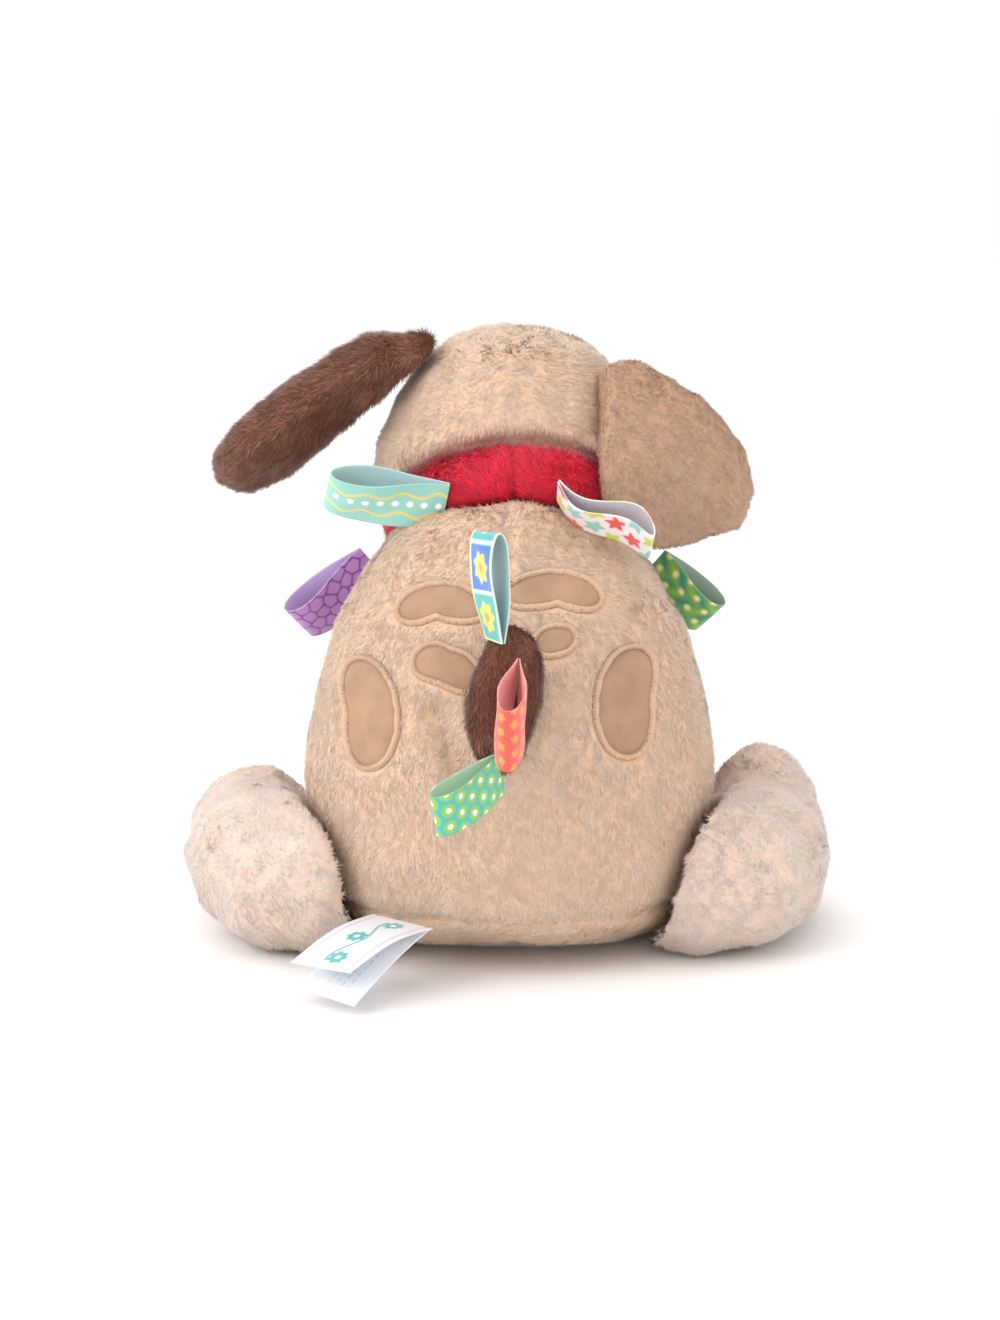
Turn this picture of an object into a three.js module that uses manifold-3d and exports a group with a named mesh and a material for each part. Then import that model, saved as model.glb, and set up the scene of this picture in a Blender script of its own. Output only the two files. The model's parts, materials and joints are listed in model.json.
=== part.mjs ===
// A seated plush puppy, built as the real toy is: sewn plush covers over loose
// stuffing, limbs and ears sewn on, a plush collar and satin ribbon tags.
// Millimetres. +Z is up, the puppy looks along -Y, and +X is its left side.
import * as THREE from 'three';
import { mergeVertices } from 'three/addons/utils/BufferGeometryUtils.js';
import Module from 'manifold-3d';

const wasm = await Module();
wasm.setup();
const { Manifold } = wasm;

// ---------------------------------------------------------------- dimensions
const GAP = 0.3;                 // free space between two neighbouring pieces
const PILE = 5;                  // plush cover: pile and backing together
const SUEDE_DEPTH = 3;           // how deep a patch is let into the pile
const EDGE_WIDTH = 2.2;          // satin stitching round a patch
const RIBBON_WIDTH = 20;
const RIBBON_WALL = 0.7;
const LABEL_WALL = 0.5;
const TIDY = 0.05;               // slivers smaller than this are merged away
const BASE_Z = 0;                // the flattened seat

// trunk: height, half width, half depth, centre in Y
const TRUNK = [
  [5, 67, 66, 8], [20, 77, 72, 4], [45, 84, 77, 2], [75, 85, 78, 0],
  [105, 81, 73, -4], [130, 73, 64, -10], [151, 62, 53, -15], [169, 46, 38, -21],
];
const TRUNK_CAPS = [9, 10];
const TRUNK_SIDES = 18;

// head: height, half width, half depth, centre in Y
const HEAD_X = -3;
const HEAD = [
  [151, 50, 46, -66], [161, 60, 54, -66], [176, 63, 58, -65], [195, 60, 57, -62],
  [214, 53, 51, -60], [230, 41, 41, -58],
];
const HEAD_CAPS = [8, 15];
const HEAD_SIDES = 16;
const SNOUT = { at: [HEAD_X, -112, 169], half: [36, 27, 24] };
const WHITE_ZONE = { at: [HEAD_X, -104, 157], half: [76, 70, 38] };
const NOSE = { at: [HEAD_X, -138, 180], half: [12, 7, 8] };
const EYE_HALF = [5, 4, 6.5];
const EYE_AT = { side: 21, y: -113.5, z: 203 };
const GUSSET_HALF = 19;          // half width of the strip over the crown

// neck: a stuffed ball the head sits on, with the collar round it
const NECK = new THREE.Vector3(-2, -38, 160);
const NECK_TILT = 40;            // degrees that the neck leans forward
const NECK_R = 36.5;
const NECK_GAP = 1.5;             // the neck turns in its seat
const COLLAR = { inner: 38, outer: 50, half: 9.5 };
const HEAD_CLEAR_R = 54.5;       // the head stays outside this ball around the collar
const HEAD_CLEAR_CONE = 68;      // and inside this half angle it rests on the neck

const deg = Math.PI / 180;
const V = (x, y, z) => new THREE.Vector3(x, y, z);
const X = V(1, 0, 0);
const Y = V(0, 1, 0);
const Z = V(0, 0, 1);
const neckAxis = V(0, -Math.sin(NECK_TILT * deg), Math.cos(NECK_TILT * deg));
const collarBack = V(0, Math.cos(NECK_TILT * deg), Math.sin(NECK_TILT * deg));

// ---------------------------------------------------------------- solid tools
function toSolid(geometry) {
  const bare = geometry.clone();
  bare.deleteAttribute('normal');
  bare.deleteAttribute('uv');
  const merged = mergeVertices(bare, 1e-4);
  const mesh = new wasm.Mesh({
    numProp: 3,
    vertProperties: Float32Array.from(merged.attributes.position.array),
    triVerts: Uint32Array.from(merged.index.array),
  });
  const solid = new Manifold(mesh);
  if (solid.volume() > 0) return solid;
  const flipped = Uint32Array.from(merged.index.array);
  for (let i = 0; i < flipped.length; i += 3) {
    [flipped[i + 1], flipped[i + 2]] = [flipped[i + 2], flipped[i + 1]];
  }
  return new Manifold(new wasm.Mesh({
    numProp: 3, vertProperties: mesh.vertProperties, triVerts: flipped,
  }));
}

function biggest(solid) {
  const parts = solid.decompose();
  return parts.reduce((a, b) => (a.volume() > b.volume() ? a : b));
}

function toGeometry(solid) {
  const mesh = solid.getMesh();
  const geometry = new THREE.BufferGeometry();
  const xyz = new Float32Array(mesh.numVert * 3);
  for (let i = 0; i < mesh.numVert; i += 1) {
    for (let k = 0; k < 3; k += 1) {
      xyz[3 * i + k] = mesh.vertProperties[mesh.numProp * i + k];
    }
  }
  geometry.setAttribute('position', new THREE.BufferAttribute(xyz, 3));
  geometry.setIndex(Array.from(mesh.triVerts));
  geometry.computeVertexNormals();
  return geometry;
}

const place = (solid, matrix) => solid.transform(matrix.elements);

function turnAbout(pivot, axis, degrees) {
  const spin = new THREE.Matrix4().makeRotationAxis(axis.clone().normalize(), degrees * deg);
  return new THREE.Matrix4().makeTranslation(pivot.x, pivot.y, pivot.z)
    .multiply(spin)
    .multiply(new THREE.Matrix4().makeTranslation(-pivot.x, -pivot.y, -pivot.z));
}

// the convex space that a solid fills while it turns through some angles
function swept(solid, pivot, axis, angles) {
  return Manifold.hull(angles.map((a) => place(solid, turnAbout(pivot, axis, a))));
}

function ellipsoid(at, half, grow = 0, detail = [14, 8]) {
  const ball = new THREE.SphereGeometry(1, detail[0], detail[1]);
  ball.rotateX(Math.PI / 2);
  ball.scale(half[0] + grow, half[1] + grow, half[2] + grow);
  ball.translate(...at);
  return toSolid(ball);
}

function box(low, high) {
  const block = new THREE.BoxGeometry(high[0] - low[0], high[1] - low[1], high[2] - low[2]);
  block.translate((low[0] + high[0]) / 2, (low[1] + high[1]) / 2, (low[2] + high[2]) / 2);
  return toSolid(block);
}

// A stuffed tube through sections {at, half: [across, other]}, with round ends.
// grow moves the whole surface out (or in when negative).
function stuffed(sections, across, caps, sides, grow = 0) {
  const count = sections.length;
  const axisAt = (i) => {
    const before = sections[Math.max(i - 1, 0)].at;
    const after = sections[Math.min(i + 1, count - 1)].at;
    return after.clone().sub(before).normalize();
  };
  const rings = [];
  const addRing = (at, axis, a, b) => {
    const u = across.clone().addScaledVector(axis, -across.dot(axis)).normalize();
    const w = axis.clone().cross(u);
    rings.push(Array.from({ length: sides }, (_, k) => {
      const t = (2 * Math.PI * (k + 0.5)) / sides;
      return at.clone().addScaledVector(u, a * Math.cos(t)).addScaledVector(w, b * Math.sin(t));
    }));
  };
  const capSteps = [45];
  const first = sections[0];
  const last = sections[count - 1];
  const tip = (section, axis, depth) => section.at.clone().addScaledVector(axis, depth + Math.sign(depth) * grow);
  const capRing = (section, axis, depth, t) => addRing(
    section.at.clone().addScaledVector(axis, (depth + Math.sign(depth) * grow) * Math.sin(t * deg)),
    axis, (section.half[0] + grow) * Math.cos(t * deg), (section.half[1] + grow) * Math.cos(t * deg),
  );
  capSteps.forEach((t) => capRing(first, axisAt(0), -caps[0], t));
  sections.forEach((s, i) => addRing(s.at, axisAt(i), s.half[0] + grow, s.half[1] + grow));
  capSteps.slice().reverse().forEach((t) => capRing(last, axisAt(count - 1), caps[1], t));
  const points = [tip(first, axisAt(0), -caps[0]), ...rings.flat(), tip(last, axisAt(count - 1), caps[1])];
  const index = [];
  const at = (r, k) => 1 + r * sides + (k % sides);
  const end = points.length - 1;
  for (let k = 0; k < sides; k += 1) {
    index.push(0, at(0, k + 1), at(0, k));
    index.push(end, at(rings.length - 1, k), at(rings.length - 1, k + 1));
    for (let r = 0; r + 1 < rings.length; r += 1) {
      index.push(at(r, k), at(r, k + 1), at(r + 1, k));
      index.push(at(r, k + 1), at(r + 1, k + 1), at(r + 1, k));
    }
  }
  const geometry = new THREE.BufferGeometry();
  geometry.setAttribute('position', new THREE.Float32BufferAttribute(points.flatMap((p) => p.toArray()), 3));
  geometry.setIndex(index);
  return toSolid(geometry);
}

// more sections along a smooth curve through a few
function flowing(sections, count) {
  const line = new THREE.CatmullRomCurve3(sections.map((s) => s.at));
  const girth = new THREE.CatmullRomCurve3(sections.map((s) => V(s.half[0], s.half[1], 0)));
  return Array.from({ length: count }, (_, i) => {
    const t = i / (count - 1);
    const g = girth.getPoint(t);
    return { at: line.getPoint(t), half: [g.x, g.y] };
  });
}

// a flat outline pushed through the toy along a direction, as a cutter
function prism(outline, origin, right, up, depth) {
  const shape = new THREE.Shape(outline.map(([x, y]) => new THREE.Vector2(x, y)));
  const geometry = new THREE.ExtrudeGeometry(shape, { depth, bevelEnabled: false });
  const out = right.clone().cross(up);
  geometry.applyMatrix4(new THREE.Matrix4().makeBasis(right, up, out).setPosition(origin));
  return toSolid(geometry);
}

// ---------------------------------------------------------------- the toy
const group = new THREE.Group();
group.name = 'plush_dog';

function add(name, solid, color, roughness = 1) {
  const material = new THREE.MeshStandardMaterial({ color, roughness, metalness: 0 });
  const mesh = new THREE.Mesh(toGeometry(biggest(solid.simplify(TIDY))), material);
  mesh.name = name;
  group.add(mesh);
}

const fill = (name, solid) => add(`${name}_stuffing`, solid, COLORS.stuffing);

const COLORS = {
  beige: 0xd8c4aa, cream: 0xe8d8ca, white: 0xf2eee9, brown: 0x73554b, tan: 0xb2927a,
  red: 0xcd2d3c, suede: 0xcba887, satinEdge: 0xe6c3a5, stuffing: 0xf4f3ee, black: 0x1c1815,
  teal: 0x7fcabd, purple: 0x9a74b8, green: 0x5fb65a, orange: 0xe8543f, yellow: 0xf0cf3c,
  label: 0xf3f4f3,
};

const tube = (rows, x) => rows.map(([z, a, b, y]) => ({ at: V(x, y, z), half: [a, b] }));
const trunkAt = (grow) => stuffed(tube(TRUNK, 0), X, TRUNK_CAPS, TRUNK_SIDES, grow);
const headAt = (grow) => stuffed(tube(HEAD, HEAD_X), X, HEAD_CAPS, HEAD_SIDES, grow);
const floorCut = box([-400, -400, -100], [400, 400, BASE_Z]);
const innerFloorCut = box([-400, -400, -100], [400, 400, BASE_Z + PILE]);
const stuffingFloorCut = box([-400, -400, -100], [400, 400, BASE_Z + PILE + GAP]);

// joints that cuts depend on
const TURN = 10;
const NOD = [-5, 8];
const JOINTS = {
  hindLeft: { pivot: V(58, 16, 35), axis: Z, range: [-8, 12] },
  hindRight: { pivot: V(-58, 16, 35), axis: Z, range: [-12, 8] },
  frontLeft: { pivot: V(52, -50, 104), axis: X, range: [-12, 18] },
  frontRight: { pivot: V(-52, -50, 104), axis: X, range: [-12, 18] },
  tail: { pivot: V(4, 56, 113), axis: Z, range: [-15, 15] },
  earLeft: { pivot: V(33, -54, 229), axis: Y, range: [-12, 25] },
  earRight: { pivot: V(-44, -44, 229), axis: V(0.75, -0.66, 0).normalize(), range: [-3, 10] },
};
const steps = (range) => [range[0], 0, range[1]];

// --- neck and collar
const collarFrame = new THREE.Matrix4().makeBasis(X, collarBack, neckAxis).setPosition(NECK);
function ringAt(grow, inner = COLLAR.inner, outer = COLLAR.outer) {
  const h = COLLAR.half + grow;
  const points = [
    [inner - grow, -h + 3], [inner + 2.5, -h], [outer - 4, -h], [outer + grow - 0.6, -h + 4.5],
    [outer + grow, 0], [outer + grow - 0.6, h - 4.5], [outer - 4, h], [inner + 2.5, h], [inner - grow, h - 3],
  ];
  const profile = [...points, points[0]].map(([r, z]) => new THREE.Vector2(r, z));
  const ring = new THREE.LatheGeometry(profile, 24);
  ring.rotateX(Math.PI / 2);
  return place(toSolid(ring), collarFrame);
}
const neckBall = ellipsoid(NECK.toArray(), [NECK_R, NECK_R, NECK_R], 0, [16, 10]);
const neckPocket = ellipsoid(NECK.toArray(), [NECK_R, NECK_R, NECK_R], NECK_GAP, [16, 10]);

// --- head shape, and the space it sweeps
const snoutAt = (grow) => ellipsoid(SNOUT.at, SNOUT.half, grow);
const headShape = headAt(0).add(snoutAt(0));
const headSweep = Manifold.hull(
  [-TURN, 0, TURN].flatMap((t) => [NOD[0], 0, NOD[1]].map((n) => {
    const pose = turnAbout(NECK, neckAxis, t).multiply(turnAbout(NECK, X, n));
    return place(headAt(0.5), pose);
  })),
);
const clearBall = ellipsoid(NECK.toArray(), [1, 1, 1].map(() => HEAD_CLEAR_R), 0, [18, 12]);
const restCone = new THREE.ConeGeometry(100 * Math.tan(HEAD_CLEAR_CONE * deg), 100, 18);
restCone.rotateX(-Math.PI / 2);
restCone.translate(0, 0, 50);
const collarRoom = clearBall.subtract(place(toSolid(restCone), collarFrame));
const headOuter = headShape.subtract(collarRoom).subtract(neckPocket);

// the space the trunk fills, seen from the turning and nodding head
const trunkSweep = Manifold.hull(
  [-TURN, 0, TURN].flatMap((t) => [NOD[0], 0, NOD[1]].map((n) => {
    const pose = turnAbout(NECK, X, -n).multiply(turnAbout(NECK, neckAxis, -t));
    return place(trunkAt(GAP), pose);
  })),
);

// --- trunk covers and filling
const trunkShape = trunkAt(0).subtract(floorCut);
const trunkKeep = (solid) => solid.subtract(ringAt(GAP)).subtract(neckPocket).subtract(headSweep);
const trunkSkin = trunkShape.subtract(trunkAt(-PILE).subtract(innerFloorCut));

const tail = [
  { at: V(2, 66, 114), half: [16, 12] }, { at: V(2, 80, 117), half: [22, 13] },
  { at: V(2, 94, 121), half: [28, 12] },
];
const tailAt = (grow) => stuffed(tail, Z, [8, 7], 14, grow);

// six suede patches let into the back: centre across and up, seen square from
// behind and 12 degrees above, and the outline round that centre
const VIEW_RIGHT = X;
const VIEW_UP = V(0, -Math.sin(12 * deg), Math.cos(12 * deg));
function kidney(width, height, bend, lean, grow = 0) {
  const outline = [];
  const corners = 14;
  for (let k = 0; k < corners; k += 1) {
    const t = (2 * Math.PI * k) / corners;
    const x = (width / 2 + grow) * Math.cos(t);
    const y = (height / 2 + grow) * Math.sin(t);
    const long = height > width;
    const bentX = long ? x + bend * ((2 * y / height) ** 2 - 0.5) : x;
    const bentY = long ? y : y + bend * ((2 * x / width) ** 2 - 0.5);
    const c = Math.cos(lean * deg);
    const s = Math.sin(lean * deg);
    outline.push([bentX * c - bentY * s, bentX * s + bentY * c]);
  }
  return outline;
}
const PATCHES = {
  side_left: { at: [56, 92], size: [22, 45], bend: -3, lean: 6 },
  side_right: { at: [-46, 97], size: [23, 44], bend: 3, lean: -6 },
  upper_left: { at: [28, 134], size: [32, 14], bend: -3, lean: 4 },
  upper_right: { at: [-18, 139], size: [35, 13], bend: -3, lean: -4 },
  lower_left: { at: [25, 110], size: [24, 15], bend: -3, lean: -18 },
  lower_right: { at: [-17, 120], size: [15, 11], bend: 0, lean: 10 },
};
function patchCutter(patch, grow) {
  const origin = V(patch.at[0], 0, 0).addScaledVector(VIEW_UP, patch.at[1]);
  return prism(kidney(...patch.size, patch.bend, patch.lean, grow), origin, X.clone().negate(), VIEW_UP, 200);
}
const patchBed = trunkAt(-SUEDE_DEPTH - GAP);
let pockets = null;
for (const patch of Object.values(PATCHES)) {
  const pocket = patchCutter(patch, EDGE_WIDTH + 2 * GAP).subtract(patchBed);
  pockets = pockets ? pockets.add(pocket) : pocket;
}
const tailPocket = tailAt(GAP);
for (const [name, patch] of Object.entries(PATCHES)) {
  const bed = trunkAt(-SUEDE_DEPTH);
  const suede = patchCutter(patch, 0).intersect(trunkAt(-1.2)).subtract(bed);
  const edge = patchCutter(patch, EDGE_WIDTH + GAP).subtract(patchCutter(patch, GAP))
    .intersect(trunkAt(-0.3)).subtract(bed);
  add(`patch_${name}`, suede, COLORS.suede);
  add(`patch_edge_${name}`, edge, COLORS.satinEdge, 0.5);
}

const half = 0.5 * GAP;
const leftSide = box([half, -400, -100], [400, 400, 400]);
const rightSide = box([-400, -400, -100], [-half, 400, 400]);
const seatTop = 24;
const bellyFront = -24;
const skin = trunkKeep(trunkSkin).subtract(pockets).subtract(tailPocket);
const aboveSeat = box([-400, -400, seatTop + half], [400, 400, 400]);
const behind = box([-400, bellyFront + half, -100], [400, 400, 400]);
add('back_left', skin.intersect(aboveSeat).intersect(behind).intersect(leftSide), COLORS.beige);
add('back_right', skin.intersect(aboveSeat).intersect(behind).intersect(rightSide), COLORS.beige);
const front = box([-400, -400, seatTop + half], [400, bellyFront - half, 400]);
add('belly', skin.intersect(front), COLORS.cream);
add('seat', skin.intersect(box([-400, -400, -100], [400, 400, seatTop - half])), COLORS.beige);
const trunkCore = trunkAt(-PILE - 1).subtract(stuffingFloorCut);
fill('body', trunkKeep(trunkCore).subtract(tailPocket));
add('neck_stuffing', neckBall, COLORS.stuffing);

const collar = ringAt(0).subtract(neckPocket);
const seamShift = NECK.x;
add('collar_left', collar.intersect(box([seamShift + half, -400, 0], [400, 400, 400])), COLORS.red);
add('collar_right', collar.intersect(box([-400, -400, 0], [seamShift - half, 400, 400])), COLORS.red);

// --- tail
const tailBed = swept(trunkAt(GAP), JOINTS.tail.pivot, Z, steps(JOINTS.tail.range).map((a) => -a));
const tailKeep = (solid) => solid.subtract(tailBed);
const tailSkin = tailKeep(tailAt(0).subtract(tailAt(-3)));
add('tail_left', tailSkin.intersect(box([tail[0].at.x + half, 0, 0], [400, 400, 400])), COLORS.brown);
add('tail_right', tailSkin.intersect(box([-400, 0, 0], [tail[0].at.x - half, 400, 400])), COLORS.brown);
const tailRoot = swept(trunkAt(-PILE + 1), JOINTS.tail.pivot, Z, [0]);
fill('tail', tailAt(-4).subtract(tailBed.add(tailRoot)));

// --- head covers, filling and face
const nose = ellipsoid(NOSE.at, NOSE.half, 0, [12, 8]);
const noseSeat = ellipsoid(NOSE.at, NOSE.half, GAP, [12, 8]);
const eyes = [1, -1].map((side) => [HEAD_X + side * EYE_AT.side, EYE_AT.y, EYE_AT.z]);
const eyeSeats = eyes.map((at) => ellipsoid(at, EYE_HALF, GAP, [10, 6]));
const headInner = headAt(-PILE).add(snoutAt(-PILE));
let headSkin = headOuter.subtract(headInner).subtract(noseSeat);
eyeSeats.forEach((seat) => { headSkin = headSkin.subtract(seat); });
const whiteIn = ellipsoid(WHITE_ZONE.at, WHITE_ZONE.half, 0, [16, 10]);
const whiteOut = ellipsoid(WHITE_ZONE.at, WHITE_ZONE.half, GAP, [16, 10]);
const muzzle = headSkin.intersect(whiteIn);
add('muzzle_left', muzzle.intersect(box([HEAD_X + half, -400, 0], [400, 400, 400])), COLORS.white);
add('muzzle_right', muzzle.intersect(box([-400, -400, 0], [HEAD_X - half, 400, 400])), COLORS.white);
const crown = headSkin.subtract(whiteOut);
const strip = (low, high) => box([HEAD_X + low, -400, 0], [HEAD_X + high, 400, 400]);
add('head_gusset', crown.intersect(strip(-GUSSET_HALF, GUSSET_HALF)), COLORS.beige);
add('head_side_left', crown.intersect(strip(GUSSET_HALF + GAP, 400)), COLORS.beige);
add('head_side_right', crown.intersect(strip(-400, -GUSSET_HALF - GAP)), COLORS.beige);
const headCore = headAt(-PILE - 1)
  .add(snoutAt(-PILE - 1)).subtract(collarRoom).subtract(neckPocket)
  .subtract(noseSeat);
fill('head', headCore);
add('nose', nose, COLORS.black, 0.6);
add('eye_left', ellipsoid(eyes[0], EYE_HALF, 0, [10, 6]), COLORS.black, 0.4);
add('eye_right', ellipsoid(eyes[1], EYE_HALF, 0, [10, 6]), COLORS.black, 0.4);

// --- ears: a brown one that sticks out, a tan one that hangs
const EARS = {
  left: {
    joint: JOINTS.earLeft,
    color: COLORS.brown,
    across: V(0.1, 0.94, 0.33).normalize(),
    caps: [5, 23],
    sections: [
      { at: V(34, -54, 232), half: [13, 10] }, { at: V(54, -52, 229), half: [21, 12.5] },
      { at: V(79, -50, 213), half: [26, 13.5] }, { at: V(101, -49, 196), half: [28, 13.5] },
    ],
  },
  right: {
    joint: JOINTS.earRight,
    color: COLORS.tan,
    across: V(-0.93, -0.36, 0).normalize(),
    caps: [5, 17],
    sections: [
      { at: V(-46, -38, 227), half: [11, 6.5] }, { at: V(-58, -24, 212), half: [25, 8] },
      { at: V(-66, -14, 194), half: [34, 8.5] }, { at: V(-69, -12, 177), half: [35, 8.5] },
    ],
  },
};
for (const [side, ear] of Object.entries(EARS)) {
  const shape = (grow) => stuffed(ear.sections, ear.across, ear.caps, 10, grow);
  const bed = swept(headAt(GAP), ear.joint.pivot, ear.joint.axis, steps(ear.joint.range).map((a) => -a))
    .add(trunkSweep);
  const cover = shape(0).subtract(shape(-3)).subtract(bed);
  const axis = ear.sections[3].at.clone().sub(ear.sections[0].at).normalize();
  const normal = axis.clone().cross(ear.across).normalize();
  const middle = ear.sections[1].at;
  const slab = new THREE.Matrix4().makeBasis(ear.across, normal, axis).setPosition(middle);
  const outer = place(box([-200, half, -200], [200, 200, 200]), slab);
  const inner = place(box([-200, -200, -200], [200, -half, 200]), slab);
  add(`ear_${side}_front`, cover.intersect(outer), ear.color);
  add(`ear_${side}_back`, cover.intersect(inner), ear.color);
  fill(`ear_${side}`, shape(-4).subtract(bed));
}

// --- legs: hind legs splayed with the toes up, front legs hanging to the floor
const mirror = (p, side) => V(side * p[0], p[1], p[2]);
const HIND = {
  path: [[60, 22, 33, 31], [84, 27, 32, 34], [101, 4, 31.5, 32.5], [106, -30, 31, 30], [107, -46, 31, 28]],
  rings: 7,
  foot: { at: [107, -46, 35], half: [27, 24, 36] },
  sole: { at: [109, -68, 38], half: [19, 5, 24] },
};
// the left hind foot lies a little lower than the right one
const HIND_LEFT = {
  ...HIND,
  foot: { at: [109, -46, 31], half: [28, 24, 31] },
  sole: { at: [111, -68, 33], half: [18, 5, 20] },
};
const FRONT = {
  path: [[50, -50, 106, 20], [56, -66, 86, 22], [55, -84, 56, 21], [50, -97, 30, 20]],
  rings: 5,
  foot: { at: [49, -102, 21], half: [20, 25, 19] },
  sole: { at: [49, -124, 19], half: [12, 4, 12] },
};
function leg(label, side, plan, joint, capDepths, lift) {
  const sections = flowing(plan.path.map((p) => ({ at: mirror(p, side), half: [p[3], p[3]] })), plan.rings);
  const shape = (grow, sides = 10) => stuffed(sections, Z, capDepths, sides, grow)
    .add(ellipsoid(mirror(plan.foot.at, side).toArray(), plan.foot.half, grow, [10, 8]));
  const bed = swept(trunkAt(GAP), joint.pivot, joint.axis, steps(joint.range).map((a) => -a));
  const soleAt = mirror(plan.sole.at, side).toArray();
  const sole = ellipsoid(soleAt, plan.sole.half, 0, [12, 6]);
  const soleSeat = ellipsoid(soleAt, plan.sole.half, GAP, [12, 6]);
  const under = (z) => box([-400, -400, -100], [400, 400, z]);
  const outer = shape(0).subtract(under(lift));
  const cover = outer.subtract(shape(-PILE).subtract(under(lift + PILE))).subtract(bed).subtract(soleSeat);
  const opening = ellipsoid(joint.pivot.toArray(), [1, 1, 1].map(() => plan.path[0][3] - PILE), 0, [10, 6]);
  add(`${label}_cover`, cover.subtract(opening), COLORS.cream);
  add(`${label}_sole`, sole, COLORS.white);
  const core = shape(-PILE - 1).subtract(under(lift + PILE + 1)).subtract(bed).subtract(soleSeat);
  fill(label, core);
}
leg('hind_leg_left', 1, HIND_LEFT, JOINTS.hindLeft, [10, 16], 0);
leg('hind_leg_right', -1, HIND, JOINTS.hindRight, [10, 16], 0);
leg('front_leg_left', 1, FRONT, JOINTS.frontLeft, [8, 12], 2);
leg('front_leg_right', -1, FRONT, JOINTS.frontRight, [8, 12], 2);

// --- satin ribbon loops: a folded ribbon whose two layers part into a drop
function drop(length, bulge, bend, start = 0) {
  const outline = [];
  const corners = 18;
  for (let k = 0; k < corners; k += 1) {
    const t = (2 * Math.PI * k) / corners;
    const x = start + (length - start) * 0.5 * (1 - Math.cos(t));
    const y = bulge * Math.sin(t) * Math.sin(t / 2) ** 1.2;
    outline.push(new THREE.Vector2(x, y + bend * (x / length) ** 2));
  }
  return outline;
}
function ribbonLoop({ root, along, bulgeTo, length, bulge = 6.5, width = RIBBON_WIDTH, bend = 0 }) {
  const shape = new THREE.Shape(drop(length, bulge, bend));
  shape.holes.push(new THREE.Path(drop(length - RIBBON_WALL, bulge - RIBBON_WALL, bend, 5).reverse()));
  const geometry = new THREE.ExtrudeGeometry(shape, { depth: width, bevelEnabled: false });
  geometry.translate(0, 0, -width / 2);
  const ex = along.clone().normalize();
  const ey = bulgeTo.clone().addScaledVector(ex, -bulgeTo.dot(ex)).normalize();
  const ez = ex.clone().cross(ey);
  geometry.applyMatrix4(new THREE.Matrix4().makeBasis(ex, ey, ez).setPosition(root));
  return toSolid(geometry);
}
const trunkRoom = trunkAt(1.5);
const LOOPS = {
  tag_yellow: { root: V(6, 98, 146), along: V(0.07, -0.06, 1), bulgeTo: V(0.95, 0.3, 0), length: 41, bulge: 8.5, width: 18, color: COLORS.yellow },
  tag_red: { root: V(-2, 107, 125), along: V(0.1, 0.85, -0.5), bulgeTo: X, length: 42, bulge: 7.5, width: 22, color: COLORS.orange },
  tag_green: { root: V(5, 103, 93), along: V(0.64, 0.66, -0.38), bulgeTo: V(-0.74, 0.66, -0.09), length: 37, bulge: 7.5, width: 18, color: COLORS.green },
  tag_teal: { root: V(27, 1, 179), along: V(0.97, 0.1, 0.17), bulgeTo: Y, length: 48, color: COLORS.teal },
  tag_stars: { root: V(-20, 14, 187), along: V(-0.84, 0.32, -0.46), bulgeTo: Y, length: 44, bulge: 8, width: 17, color: COLORS.white },
  tag_purple: { root: V(57, -34, 148), along: V(0.8, 0, -0.6), bulgeTo: Y, length: 40, bulge: 8, width: 18, color: COLORS.purple },
  tag_dots: { root: V(-59, -34, 147), along: V(-0.75, 0, -0.6), bulgeTo: Y, length: 33, bulge: 8, width: 18, color: COLORS.green },
};
for (const [name, loop] of Object.entries(LOOPS)) {
  add(name, ribbonLoop(loop).subtract(trunkRoom).subtract(headSweep), loop.color, 0.4);
}

// --- folded care label: two leaves from one seam at the lower back
function leaf(root, along, out, length, width, sag) {
  const top = [];
  const bottom = [];
  const parts = 6;
  for (let k = 0; k <= parts; k += 1) {
    const x = (length * k) / parts;
    const y = sag * Math.sin((Math.PI * k) / parts);
    top.push(new THREE.Vector2(x, y + LABEL_WALL));
    bottom.unshift(new THREE.Vector2(x, y));
  }
  const geometry = new THREE.ExtrudeGeometry(new THREE.Shape([...top, ...bottom]), { depth: width, bevelEnabled: false });
  geometry.translate(0, 0, -width / 2);
  const ex = along.clone().normalize();
  const ey = out.clone().addScaledVector(ex, -out.dot(ex)).normalize();
  geometry.applyMatrix4(new THREE.Matrix4().makeBasis(ex, ey, ex.clone().cross(ey)).setPosition(root));
  return toSolid(geometry);
}
const LABEL_ROOT = V(42, 67, 25);
add('label_upper', leaf(LABEL_ROOT.clone().add(V(0, 0, 2)), V(0.66, 0.72, -0.17), Z, 48, 29, 2).subtract(trunkRoom), COLORS.label, 0.6);
add('label_lower', leaf(LABEL_ROOT, V(0.6, 0.72, -0.42), Z, 49, 29, -0.6).subtract(trunkRoom), COLORS.label, 0.6);

// --- origin: the middle of the whole toy across X and Y, on the floor
const bounds = new THREE.Box3().setFromObject(group);
const middle = bounds.getCenter(new THREE.Vector3());
for (const mesh of group.children) {
  mesh.geometry.translate(-middle.x, -middle.y, -bounds.min.z);
}

export default group;
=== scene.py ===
"""A seated plush puppy seen from behind: plush covers with real pile, suede patches, satin ribbon loops.
Lengths in this script are millimetres in the CAD frame; make_mesh turns them into metres."""

import json
import math

import bmesh
import bpy
import numpy as np
from mathutils import Matrix, Vector
from mathutils.bvhtree import BVHTree


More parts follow.
